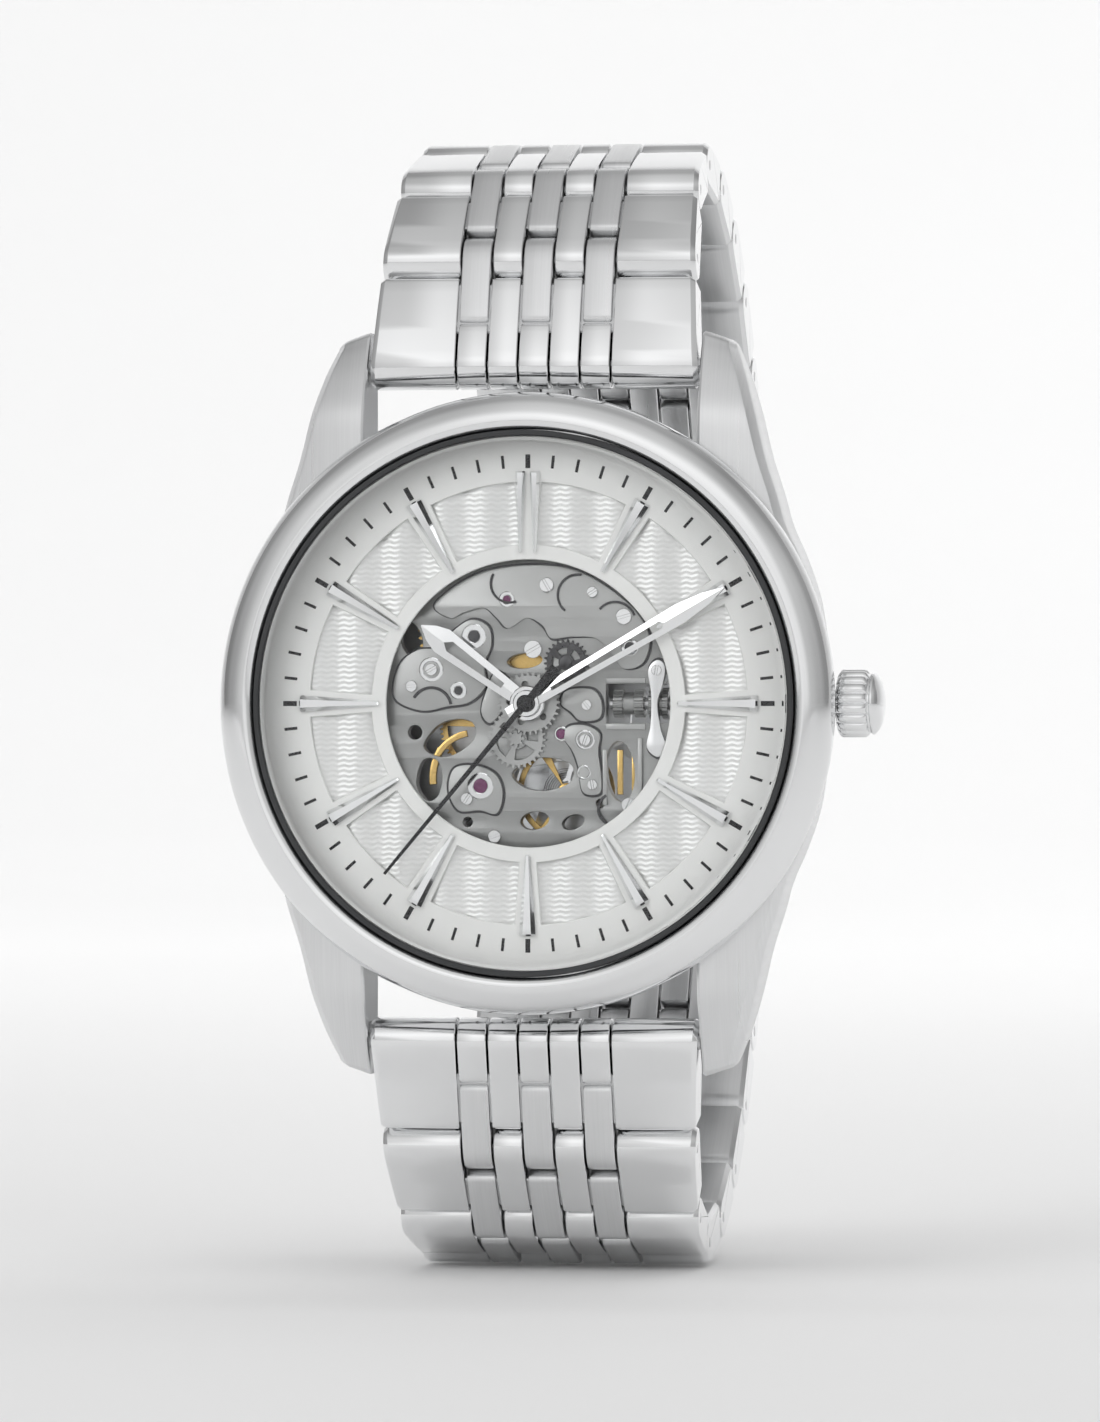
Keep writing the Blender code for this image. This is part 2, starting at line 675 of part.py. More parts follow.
# Winding wheels and click, over the barrel bridge
ratchet = wheel("ratchet_wheel", RATCHET_TEETH, WINDING_MODULE, 2.36, 2.6, 1.0, 0, 0, WINDING_ANGLE)
combine(ratchet, cylinder("ratchet_square", 0.7, 2.3, 3.5, 8), "UNION")
place(ratchet, polished, head, (*BARREL_AT, 0))
crown_wheel = wheel("crown_wheel", CROWN_WHEEL_TEETH, WINDING_MODULE, 2.36, 2.6, 1.0, 0, 0,
                    WINDING_ANGLE + 180 + 180 / CROWN_WHEEL_TEETH)
place(crown_wheel, polished, head, (*CROWN_WHEEL_AT, 0))
click_outline = [(-0.5, -0.6), (0.5, -0.6), (0.6, 0.6), (0.25, 1.7), (-0.15, 1.75), (-0.5, 0.6)]
click = plate("click", [click_outline], 2.38, 2.58)
place(click, polished, head, (-8.9, 8.1, 0), 215)


# Winding rotor: a half disc with a heavy rim, turning on its own bearing
def rotor():
    body = plate("rotor", [sector(0.0, 12.0, 200, 340, count=16)[:17] + [(1.6, 0.4), (-1.6, 0.4)]],
                 1.35, 1.65)
    heavy = plate("rotor_rim", [sector(10.4, 12.4, 202, 338, count=16)], 1.3, 2.25)
    combine(body, heavy, "UNION")
    combine(body, drum("rotor_boss", 2.0, 1.25, 2.2, 20), "UNION")
    return place(body, satin, head)


rotor()


# Bracelet

def band_edges(half_width):
    """The X limits of the four polished columns and the three satin ones, left to right."""
    width = COLUMN_GROUP / 5
    lines = [-half_width] + [-COLUMN_GROUP / 2 + width * i for i in range(6)] + [half_width]
    bands = list(zip(lines, lines[1:]))
    return bands[0::2], bands[1::2]


def comb_outline(half_width, length, far_width=None):
    """A row from above: polished prongs reach back past its first axis, satin ones past its last."""
    round_off = LINK_THICKNESS / 2
    raised, sunk = band_edges(half_width)
    near = -round_off
    far = length + round_off
    start = round_off + LINK_GAP
    end = length - round_off - LINK_GAP
    lower = []
    for low, high in raised:
        left = low if low == -half_width else low + LINK_GAP / 2
        right = high if high == half_width else high - LINK_GAP / 2
        lower += [(left, start), (left, near), (right, near), (right, start)]
    upper = []
    for low, high in reversed(sunk):
        upper += [
            (high - LINK_GAP / 2, end), (high - LINK_GAP / 2, far),
            (low + LINK_GAP / 2, far), (low + LINK_GAP / 2, end),
        ]
    return lower[1:-1] + [(far_width or half_width, end)] + upper + [(-(far_width or half_width), end)]


def stadium(length, half_width, segments=4):
    """The side view of a row: flat faces, round about both axes."""
    radius = LINK_THICKNESS / 2
    points = []
    for centre, first in ((length, 90), (0, 270)):
        for i in range(segments + 1):
            angle = math.radians(first - 180 * i / segments)
            points.append((centre + radius * math.cos(angle), radius * math.sin(angle)))
    prism = plate("row_side", [points], -half_width - 1, half_width + 1)
    prism.data.transform(Matrix(((0, 0, 1, 0), (1, 0, 0, 0), (0, 1, 0, 0), (0, 0, 0, 1))))
    return prism


def row_bore(length, half, radius, sides=6):
    return along_x(cylinder("row_bore", radius, -half, half, sides), 0, length)


def link_row(name, half_width, far_width, length, pinned, through):
    row = plate(name, [comb_outline(half_width, length, far_width)], -LINK_THICKNESS, LINK_THICKNESS)
    combine(row, stadium(length, half_width), "INTERSECT")
    hole_half = half_width + 2 if through else half_width - 0.8
    hole = PIN_BORE + 0.18 if through else PIN_BORE
    combine(row, row_bore(0, hole_half, hole), "DIFFERENCE")
    if pinned:
        combine(row, row_bore(length, far_width - 1.2, PIN_RADIUS), "UNION")
    return row


def strap(name, rotation, prefix, last_pinned):
    """Eight rows from the spring bar outwards; returns the place of the last axis."""
    frame = empty(name, rotation=rotation)
    place_now = Vector((0, -BAR_HEIGHT, BAR_REACH))
    widths = list(ROW_HALF_WIDTHS) + [CLASP_HALF_WIDTH]
    for i, angle in enumerate(ROW_ANGLES):
        length = FIRST_PITCH if i == 0 else PITCH
        pinned = last_pinned or i < len(ROW_ANGLES) - 1
        label = f"{prefix}_row_{i + 1}"
        row = smooth(baked(link_row(label, widths[i], widths[i + 1], length, pinned, i == 0), polished))
        show(row, parts, frame, place_now)
        row.rotation_euler = (math.radians(90 - angle), 0, 0)
        lean = math.radians(angle)
        place_now = place_now + length * Vector((0, math.sin(lean), math.cos(lean)))
    return frame, place_now


upper, last_axis = strap("upper_strap", (0, 0, 0), "upper", False)
lower, _ = strap("lower_strap", (0, 180, 0), "lower", True)

for side, frame in (("upper", upper), ("lower", lower)):
    bar = along_x(cylinder(f"{side}_spring_bar", 0.55, -12.9, 12.9, 8), 0)
    place(bar, satin, frame, (0, -BAR_HEIGHT, BAR_REACH))


# Three-fold clasp, in a frame at the lower strap's last axis: Y runs up, Z runs outwards
SPAN = 2 * last_axis.z
POCKET = 0.85
BLADE_HINGE_Y = SPAN - 3.6
FOLD_HINGE_Y = 5.2
clasp = empty("clasp", (0, last_axis.y, -last_axis.z), (90, 0, 180))


def clasp_cover():
    half = CLASP_HALF_WIDTH
    start = comb_outline(half, 10.0)
    near = [p for p in start if p[1] < 2]
    far = [(x, SPAN - y) for x, y in reversed(near)]
    body = plate("clasp_cover", [near + far], -LINK_THICKNESS, LINK_THICKNESS)
    combine(body, stadium(SPAN, half), "INTERSECT")
    combine(body, block("pocket", (-half + 1.0, 3.0, -4), (half - 1.0, SPAN - 2.4, POCKET)), "DIFFERENCE")
    combine(body, row_bore(0, half - 0.8, PIN_BORE), "DIFFERENCE")
    combine(body, row_bore(BLADE_HINGE_Y, half - 0.4, 0.42), "DIFFERENCE")
    for sign in (1, -1):
        hole = block("button_hole", (min(sign * 8, sign * 12), SPAN / 2 - 2.6, -0.95),
                     (max(sign * 8, sign * 12), SPAN / 2 + 2.6, 0.55))
        combine(body, hole, "DIFFERENCE")
    return body


def in_clasp(obj, finish):
    return place(obj, finish, clasp)


in_clasp(clasp_cover(), polished)

KNUCKLE = 0.75
FOLD_AXIS_Z = -0.38
tongue = 1.9
arm = 4.6
blade_a = plate("clasp_blade_a", [[
    (-tongue, FOLD_HINGE_Y - 0.6), (tongue, FOLD_HINGE_Y - 0.6), (tongue, FOLD_HINGE_Y + KNUCKLE + 0.2),
    (arm, FOLD_HINGE_Y + KNUCKLE), (arm, BLADE_HINGE_Y + 0.15), (-arm, BLADE_HINGE_Y + 0.15),
    (-arm, FOLD_HINGE_Y + KNUCKLE), (-tongue, FOLD_HINGE_Y + KNUCKLE + 0.2),
]], -0.05, 0.6)
combine(blade_a, along_x(cylinder("blade_pin", 0.3, -9.5, 9.5, 8), 0, BLADE_HINGE_Y), "UNION")
combine(blade_a, block("blade_knuckle", (0.1 - tongue, FOLD_HINGE_Y - 0.5, -1.0),
                       (tongue - 0.1, FOLD_HINGE_Y + 0.6, 0.2)), "UNION")
combine(blade_a, along_x(cylinder("knuckle_bore", 0.3, -4, 4, 8), FOLD_AXIS_Z, FOLD_HINGE_Y), "DIFFERENCE")
in_clasp(blade_a, satin)

notch = tongue + 0.2
fork = [
    (-arm, FOLD_HINGE_Y + KNUCKLE), (-notch, FOLD_HINGE_Y + KNUCKLE), (-notch, FOLD_HINGE_Y + 1.1),
    (notch, FOLD_HINGE_Y + 1.1), (notch, FOLD_HINGE_Y + KNUCKLE), (arm, FOLD_HINGE_Y + KNUCKLE),
    (arm, SPAN - 2.6), (-arm, SPAN - 2.6),
]
blade_b = plate("clasp_blade_b", [fork], -1.4, -0.75)
for side in (1, -1):
    ear_middle = side * (notch + 0.55)
    ear = block("blade_ear", (ear_middle - 0.5, FOLD_HINGE_Y - 0.5, -1.2),
                (ear_middle + 0.5, FOLD_HINGE_Y + 1.3, -0.12))
    combine(blade_b, ear, "UNION")
combine(blade_b, along_x(cylinder("fold_pin", 0.23, -3.0, 3.0, 8), FOLD_AXIS_Z, FOLD_HINGE_Y), "UNION")
in_clasp(blade_b, satin)

for side, sign in (("right", -1), ("left", 1)):
    low = min(sign * 8.9, sign * 10.75)
    button = block(f"push_button_{side}", (low, SPAN / 2 - 2.4, -0.85), (low + 1.85, SPAN / 2 + 2.4, 0.45))
    in_clasp(button, polished)
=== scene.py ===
import math

import bmesh
import bpy
from mathutils import Matrix, Vector


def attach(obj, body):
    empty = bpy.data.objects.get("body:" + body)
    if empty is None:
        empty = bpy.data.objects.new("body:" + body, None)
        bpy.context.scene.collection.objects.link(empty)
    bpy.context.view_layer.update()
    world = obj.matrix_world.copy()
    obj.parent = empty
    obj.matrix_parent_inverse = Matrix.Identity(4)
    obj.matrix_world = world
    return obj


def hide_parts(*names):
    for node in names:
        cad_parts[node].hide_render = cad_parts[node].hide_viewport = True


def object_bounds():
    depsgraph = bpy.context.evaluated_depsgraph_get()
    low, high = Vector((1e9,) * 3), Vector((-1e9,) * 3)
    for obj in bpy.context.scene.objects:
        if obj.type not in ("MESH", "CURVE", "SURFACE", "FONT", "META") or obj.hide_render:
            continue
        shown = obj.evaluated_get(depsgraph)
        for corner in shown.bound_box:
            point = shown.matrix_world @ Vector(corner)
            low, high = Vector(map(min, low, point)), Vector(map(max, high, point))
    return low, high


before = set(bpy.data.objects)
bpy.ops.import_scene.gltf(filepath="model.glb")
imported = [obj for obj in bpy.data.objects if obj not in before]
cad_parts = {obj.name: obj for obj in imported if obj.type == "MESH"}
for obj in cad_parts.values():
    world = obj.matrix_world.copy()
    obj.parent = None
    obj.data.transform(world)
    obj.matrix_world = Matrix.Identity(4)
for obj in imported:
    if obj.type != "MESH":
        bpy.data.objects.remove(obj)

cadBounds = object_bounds()
sceneNow = bpy.context.scene
sceneNow.view_settings.view_transform = "Standard"

mm = 0.001
# watch head drawing space: x right, y up, z out of the dial
headSpace = Matrix(((1, 0, 0, 0), (0, 0, -1, 0), (0, 1, 0, 0), (0, 0, 0, 1)))

head = {
    "aperture": 9.95, "dialRadius": 18.65, "stemHeight": 5.6, "barHeight": 4.3, "barReach": 23.4,
}

# Shader groups

def newGroup(name, inputs, outputs):
    tree = bpy.data.node_groups.new(name, "ShaderNodeTree")
    for label, kind, value in inputs:
        socket = tree.interface.new_socket(name=label, in_out="INPUT", socket_type=kind)
        socket.default_value = value
    for label, kind in outputs:
        tree.interface.new_socket(name=label, in_out="OUTPUT", socket_type=kind)
    return tree, tree.nodes.new("NodeGroupInput"), tree.nodes.new("NodeGroupOutput")


def newMaterial(name):
    # gives the material, its nodes, its shader and its object coordinates
    material = bpy.data.materials.new(name)
    material.use_nodes = True
    tree = material.node_tree
    where = tree.nodes.new("ShaderNodeTexCoord")
    return material, tree, tree.nodes["Principled BSDF"], where.outputs["Object"]


def tintNode(tree, share, dark, light):
    tint = tree.nodes.new("ShaderNodeMix")
    tint.data_type = "RGBA"
    tint.inputs[6].default_value = (*dark, 1)
    tint.inputs[7].default_value = (*light, 1)
    tree.links.new(share, tint.inputs[0])
    return tint.outputs[2]


def mathNode(tree, operation, first, second):
    node = tree.nodes.new("ShaderNodeMath")
    node.operation = operation
    for socket, value in zip(node.inputs, (first, second)):
        if isinstance(value, (int, float)):
            socket.default_value = value
        else:
            tree.links.new(value, socket)
    return node.outputs[0]


def noiseNode(tree, vector, scale, detail=2.0):
    node = tree.nodes.new("ShaderNodeTexNoise")
    node.inputs["Detail"].default_value = detail
    tree.links.new(vector, node.inputs["Vector"])
    if isinstance(scale, (int, float)):
        node.inputs["Scale"].default_value = scale
    else:
        tree.links.new(scale, node.inputs["Scale"])
    return node.outputs["Fac"]


grainInputs = [
    ("Vector", "NodeSocketVector", (0, 0, 0)), ("Stretch", "NodeSocketVector", (1, 1, 1)),
    ("Fineness", "NodeSocketFloat", 6000.0), ("Base", "NodeSocketFloat", 0.3),
    ("Spread", "NodeSocketFloat", 0.1),
]
surfaceOutputs = [(name, "NodeSocketFloat") for name in ("Height", "Roughness", "Shade")]


def stretchedVector(tree, start):
    pull = tree.nodes.new("ShaderNodeVectorMath")
    pull.operation = "MULTIPLY"
    tree.links.new(start.outputs["Vector"], pull.inputs[0])
    tree.links.new(start.outputs["Stretch"], pull.inputs[1])
    return pull.outputs[0]


def scaledSwing(tree, start, noise, middle):
    return mathNode(tree, "MULTIPLY", mathNode(tree, "SUBTRACT", noise, middle), start.outputs["Spread"])


def putOut(tree, end, height, roughness, shade):
    for name, value in (("Height", height), ("Roughness", roughness), ("Shade", shade)):
        tree.links.new(value, end.inputs[name])
    return tree


def brushedGrainGroup():
    # long fine lines along the directions that Stretch squeezes
    tree, start, end = newGroup("brushedGrain", grainInputs, surfaceOutputs)
    vector, fineness = stretchedVector(tree, start), start.outputs["Fineness"]
    fine = noiseNode(tree, vector, fineness, 3.0)
    coarse = noiseNode(tree, vector, mathNode(tree, "MULTIPLY", fineness, 0.21), 2.0)
    lines = mathNode(tree, "ADD", mathNode(tree, "MULTIPLY", fine, 0.7), mathNode(tree, "MULTIPLY", coarse,
        0.3))
    rough = mathNode(tree, "ADD", scaledSwing(tree, start, coarse, 0.5), start.outputs["Base"])
    return putOut(tree, end, lines, rough, lines)


def polishHazeGroup():
    # mirror polish with faint cloudiness and hairline marks from handling
    tree, start, end = newGroup("polishHaze", grainInputs, surfaceOutputs)
    cloud = noiseNode(tree, start.outputs["Vector"], 140.0, 3.0)
    hair = noiseNode(tree, stretchedVector(tree, start), start.outputs["Fineness"], 4.0)
    mark = mathNode(tree, "GREATER_THAN", hair, 0.66)
    haze = scaledSwing(tree, start, cloud, 0.4)
    worn = mathNode(tree, "MULTIPLY", mark, mathNode(tree, "MULTIPLY", start.outputs["Spread"], 0.6))
    rough = mathNode(tree, "ADD", mathNode(tree, "ADD", haze, worn), start.outputs["Base"])
    return putOut(tree, end, hair, mathNode(tree, "MAXIMUM", rough, 0.02), cloud)


def frostedGrainGroup():
    # even fine tooth, as on bead-blasted plates and lacquer
    tree, start, end = newGroup("frostedGrain", grainInputs, surfaceOutputs)
    tooth = noiseNode(tree, start.outputs["Vector"], start.outputs["Fineness"], 2.0)
    cloud = noiseNode(tree, start.outputs["Vector"], 260.0, 2.0)
    rough = mathNode(tree, "ADD", scaledSwing(tree, start, tooth, 0.5), start.outputs["Base"])
    return putOut(tree, end, tooth, rough, cloud)


groups = {"brushed": brushedGrainGroup(), "polished": polishHazeGroup(), "frosted": frostedGrainGroup()}

# Finishes: dark and light give the range of the base colour
finishKeys = ("group", "dark", "light", "metallic", "base", "spread", "stretch", "fineness", "bump", "slot")
finishRows = {
    "mirrorSteel": ("polished", (0.84, 0.845, 0.85), (0.93, 0.935, 0.94), 1.0,
        0.09, 0.06, (1, 0.2, 0.35), 900, 0.00000008, "polished_steel"),
    "brushedSteel": ("brushed", (0.74, 0.745, 0.75), (0.87, 0.875, 0.88), 1.0,
        0.3, 0.14, (1, 0.02, 0.02), 9000, 0.0000012, "satin_steel"),
    "crossSteel": ("brushed", (0.6, 0.605, 0.61), (0.76, 0.765, 0.77), 1.0,
        0.34, 0.16, (0.02, 1, 1), 8000, 0.0000024, "satin_steel"),
    "dialSilver": ("frosted", (0.76, 0.765, 0.75), (0.82, 0.825, 0.81), 0.15,
        0.42, 0.1, (1, 1, 1), 9000, 0.0000008, "silver_dial"),
    "engravedSilver": ("frosted", (0.74, 0.745, 0.735), (0.81, 0.815, 0.805), 0.5,
        0.33, 0.1, (1, 1, 1), 9000, 0.0000006, "silver_dial"),
    # black print and lacquer, also used as painted shadow on the rehaut ring
    "blackLacquerAndShadow": ("frosted", (0.006, 0.006, 0.007), (0.016, 0.016, 0.018), 0.0,
        0.28, 0.12, (1, 1, 1), 5000, 0.0000006, "black_lacquer"),
    "blackRubber": ("frosted", (0.02, 0.021, 0.022), (0.05, 0.052, 0.055), 0.0,
        0.42, 0.15, (1, 1, 1), 4000, 0.000001, "black_gasket"),
    "giltBrass": ("brushed", (0.56, 0.36, 0.11), (0.86, 0.62, 0.26), 1.0,
        0.22, 0.12, (1, 1, 1), 5000, 0.0000012, "gilt_brass"),
    "movementCover": ("frosted", (0.4, 0.405, 0.4), (0.5, 0.505, 0.5), 0.75,
        0.34, 0.16, (1, 1, 1), 7000, 0.0000016, "grey_plate"),
    "movementGrey": ("frosted", (0.3, 0.303, 0.3), (0.42, 0.425, 0.42), 0.75,
        0.36, 0.16, (1, 1, 1), 7000, 0.0000016, "grey_plate"),
    # dark steel parts, and painted shade for cover rims, holes and back notches
    "movementDark": ("frosted", (0.05, 0.05, 0.052), (0.13, 0.13, 0.135), 0.85,
        0.3, 0.12, (1, 1, 1), 7000, 0.000001, "grey_plate"),
    "rubyJewel": ("polished", (0.1, 0.025, 0.07), (0.24, 0.07, 0.18), 0.0,
        0.06, 0.04, (1, 1, 1), 900, 0.00000005, "grey_plate"),
}
finishLooks = {name: dict(zip(finishKeys, row)) for name, row in finishRows.items()}


def buildFinish(name, look):
    material, tree, shader, where = newMaterial(name)
    shader.inputs["Metallic"].default_value = look["metallic"]
    surface = tree.nodes.new("ShaderNodeGroup")
    surface.node_tree = groups[look["group"]]
    for key in ("stretch", "fineness", "base", "spread"):
        surface.inputs[key.capitalize()].default_value = look[key]
    bump = tree.nodes.new("ShaderNodeBump")
    bump.inputs["Distance"].default_value = look["bump"]
    tree.links.new(where, surface.inputs["Vector"])
    tree.links.new(tintNode(tree, surface.outputs["Shade"], look["dark"], look["light"]),
        shader.inputs["Base Color"])
    tree.links.new(surface.outputs["Roughness"], shader.inputs["Roughness"])
    tree.links.new(surface.outputs["Height"], bump.inputs["Height"])
    tree.links.new(bump.outputs["Normal"], shader.inputs["Normal"])
    return material


finishes = {name: buildFinish(name, look) for name, look in finishLooks.items()}


def buildSapphire():
    # clear with a faint cool cast; shadow rays pass so that the dial below stays lit
    material, tree, shader, where = newMaterial("clearSapphire")
    shader.inputs["Transmission Weight"].default_value = 1.0
    shader.inputs["Roughness"].default_value = 0.0
    shader.inputs["IOR"].default_value = 1.22
    tint = tintNode(tree, noiseNode(tree, where, 90.0), (0.985, 0.992, 0.995), (1, 1, 1))
    tree.links.new(tint, shader.inputs["Base Color"])
    rays = tree.nodes.new("ShaderNodeLightPath")
    solid = mathNode(tree, "SUBTRACT", 1.0, rays.outputs["Is Shadow Ray"])
    tree.links.new(solid, shader.inputs["Alpha"])
    return material


finishes["clearSapphire"] = buildSapphire()
finishLooks["clearSapphire"] = {"slot": "sapphire"}
print("finishes ready:", len(finishes))

# Shape helpers, all in millimetres

def curvedLine(points, steps=6, closed=False):
    # passes through every point
    count = len(points)
    line = []
    spans = count if closed else count - 1
    for i in range(spans):
        picks = [(i + k) % count if closed else min(max(i + k, 0), count - 1) for k in (-1, 0, 1, 2)]
        near = [points[k] for k in picks]
        for step in range(steps):
            t = step / steps
            weights = (
                -0.5 * t + t * t - 0.5 * t ** 3, 1 - 2.5 * t * t + 1.5 * t ** 3,
                0.5 * t + 2 * t * t - 1.5 * t ** 3, -0.5 * t * t + 0.5 * t ** 3,
            )
            line.append(tuple(sum(w * v for w, v in zip(weights, values)) for values in zip(*near)))
    if not closed:
        line.append(tuple(points[-1]))
    return line


def circlePoints(radius, count=48, centre=(0, 0), squash=1.0, lean=0.0):
    c, s = math.cos(math.radians(lean)), math.sin(math.radians(lean))
    points = []
    for i in range(count):
        a = 2 * math.pi * i / count
        x, y = radius * math.cos(a), radius * squash * math.sin(a)
        points.append((centre[0] + x * c - y * s, centre[1] + x * s + y * c))
    return points


def arcPoints(radius, first, last, count=12, centre=(0, 0)):
    angles = [math.radians(first + (last - first) * i / count) for i in range(count + 1)]
    return [(centre[0] + radius * math.cos(a), centre[1] + radius * math.sin(a)) for a in angles]


def sectorPoints(inner, outer, first, last, count=12, centre=(0, 0)):
    return arcPoints(outer, first, last, count, centre) + arcPoints(inner, last, first, count, centre)


def boxPoints(x0, y0, x1, y1):
    return [(x0, y0), (x1, y0), (x1, y1), (x0, y1)]


def repeatedPoints(count, start, stations):
    # stations run (share of one step, radius), and each step round the circle repeats them
    points = []
    for i in range(count):
        for share, radius in stations:
            a = math.radians(start + 360 / count * (i + share))
            points.append((radius * math.cos(a), radius * math.sin(a)))
    return points


def toothPoints(teeth, module, start=0.0, addendum=0.8):
    pitch = teeth * module / 2
    root, tip = pitch - module, pitch + addendum * module
    return repeatedPoints(teeth, start, ((-0.27, root), (-0.22, pitch), (-0.1, tip), (0.1, tip),
        (0.22, pitch), (0.27, root)))


def latheShape(profile, steps=128):
    # profile runs (radius, height); a closed loop unless it starts and ends on the axis
    bm = bmesh.new()
    rings = []
    for radius, height in profile:
        angles = [2 * math.pi * i / steps for i in range(steps)] if radius else [0]
        rings.append([bm.verts.new((radius * math.cos(a), radius * math.sin(a), height)) for a in angles])
    pairs = list(zip(rings, rings[1:]))
    if profile[0][0]:
        pairs.append((rings[-1], rings[0]))
    for near, far in pairs:
        for i in range(steps):
            j = (i + 1) % steps
            if len(near) == 1:
                bm.faces.new((near[0], far[i], far[j]))
            elif len(far) == 1:
                bm.faces.new((near[i], far[0], near[j]))
            else:
                bm.faces.new((near[i], far[i], far[j], near[j]))
    return bm


def plateShape(outlines, low, high, edge=0.0, rounds=0):
    # the first outline is the rim and the rest are holes; edge is the width of the bevel
    guide = bpy.data.curves.new("plateGuide", "CURVE")
    guide.dimensions = "2D"
    guide.fill_mode = "BOTH"
    guide.extrude = (high - low) / 2 - edge
    guide.bevel_depth = edge
    guide.bevel_resolution = rounds
    guide.offset = -edge
    for outline in outlines:
        spline = guide.splines.new("POLY")
        spline.points.add(len(outline) - 1)
        for point, (x, y) in zip(spline.points, outline):
            point.co = (x, y, 0, 1)
        spline.use_cyclic_u = True
    holder = bpy.data.objects.new("plateGuide", guide)
    sceneNow.collection.objects.link(holder)
    bpy.context.view_layer.update()
    mesh = bpy.data.meshes.new_from_object(holder.evaluated_get(bpy.context.evaluated_depsgraph_get()))
    bm = bmesh.new()
    bm.from_mesh(mesh)
    bpy.data.objects.remove(holder)
    bpy.data.meshes.remove(mesh)
    bpy.data.curves.remove(guide)
    bmesh.ops.remove_doubles(bm, verts=bm.verts, dist=0.0005)
    bmesh.ops.translate(bm, verts=bm.verts, vec=(0, 0, (low + high) / 2))
    return bm


def loftShape(sections, looped=False):
    # joins each closed section to the next; the ends are capped, or joined to each other
    bm = bmesh.new()
    rows = [[bm.verts.new(point) for point in section] for section in sections]
    count = len(rows[0])
    for near, far in zip(rows, rows[1:] + (rows[:1] if looped else [])):
        for i in range(count):
            j = (i + 1) % count
            bm.faces.new((near[i], near[j], far[j], far[i]))
    if not looped:
        bm.faces.new(rows[0])
        bm.faces.new(rows[-1])
    return bm


def joinShapes(shapes):
    whole = bmesh.new()
    for shape in shapes:
        part = bpy.data.meshes.new("part")
        bmesh.ops.recalc_face_normals(shape, faces=shape.faces)
        shape.to_mesh(part)
        shape.free()
        whole.from_mesh(part)
        bpy.data.meshes.remove(part)
    return whole


def movedShape(shape, matrix):
    shape.transform(matrix)
    return shape


def setAt(shape, x, y):
    return movedShape(shape, Matrix.Translation((x, y, 0)))


def turnAbout(shape, degrees):
    return movedShape(shape, Matrix.Rotation(math.radians(degrees), 4, "Z"))


def alongX(shape, height=0.0, reach=0.0):
    return movedShape(shape, Matrix.Translation((0, reach, height)) @ Matrix.Rotation(math.pi / 2, 4, "Y"))


def cutShape(shape, cutter):
    # takes the cutter out of the shape
    pieces = []
    for bm in (shape, cutter):
        bmesh.ops.recalc_face_normals(bm, faces=bm.faces)
        mesh = bpy.data.meshes.new("cutWork")
        bm.to_mesh(mesh)
        bm.free()
        piece = bpy.data.objects.new("cutWork", mesh)
        sceneNow.collection.objects.link(piece)
        pieces.append(piece)
    cut = pieces[0].modifiers.new("cut", "BOOLEAN")
    cut.operation = "DIFFERENCE"
    cut.solver = "EXACT"
    cut.object = pieces[1]
    bpy.context.view_layer.update()
    mesh = bpy.data.meshes.new_from_object(pieces[0].evaluated_get(bpy.context.evaluated_depsgraph_get()))
    bm = bmesh.new()
    bm.from_mesh(mesh)
    for piece in pieces:
        bpy.data.objects.remove(piece)
    bpy.data.meshes.remove(mesh)
    return bm


def addPiece(name, shape, body, finish, nodes=(), space=headSpace, angle=35, underside=None):
    # finish names the material; underside is a second one for faces that look along space's -z
    shape.normal_update()
    bmesh.ops.recalc_face_normals(shape, faces=shape.faces)
    if underside:
        for face in shape.faces:
            face.material_index = 1 if face.normal.z < -0.6 else 0
    shape.transform(Matrix.Scale(mm, 4) @ space)
    mesh = bpy.data.meshes.new(name)
    shape.to_mesh(mesh)
    shape.free()
    piece = bpy.data.objects.new(name, mesh)
    sceneNow.collection.objects.link(piece)
    mesh.materials.append(finishes[finish])
    if underside:
        mesh.materials.append(finishes[underside])
    mesh.shade_smooth()
    mesh.set_sharp_from_angle(angle=math.radians(angle))
    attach(piece, body)
    if nodes:
        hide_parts(*nodes)
    return piece


def turnedSpace(x, y, angle=0.0):
    return headSpace @ Matrix.Translation((x, y, 0)) @ Matrix.Rotation(math.radians(angle), 4, "Z")


# Case, bezel, crystal

bezelArc = [(19.4 + 2.1 * math.sin(math.radians(a)), 8.5 + 2.2 * math.cos(math.radians(a)))
    for a in range(0, 91, 6)]
addPiece("bezel", latheShape([(18.92, 8.05), (18.92, 10.35), (19.02, 10.5), (19.2, 10.64)] + bezelArc + [
    (21.46, 8.35), (21.3, 8.22), (21.1, 8.12), (20.7, 8.05)], 192), "case", "mirrorSteel", ["bezel"])
addPiece("crystal", latheShape([(0, 9.62), (18.2, 9.62), (18.32, 9.74), (18.32, 10.66), (18.12, 10.88),
    (0, 10.88)], 160), "case", "clearSapphire", ["crystal"])
addPiece("crystalGasket", latheShape([(18.42, 9.02), (18.84, 9.02), (18.84, 10.44), (18.74, 10.54),
    (18.5, 10.54), (18.42, 10.46)], 160), "case", "blackRubber", ["crystal_gasket"])
# the black ring under the bezel is painted shadow on the inner wall
addPiece("rehautRing", latheShape([(18.47, 8.94), (18.84, 8.94), (18.75, 7.86), (18.62, 7.86)], 160), "case",
         "blackLacquerAndShadow", ["rehaut_ring"])


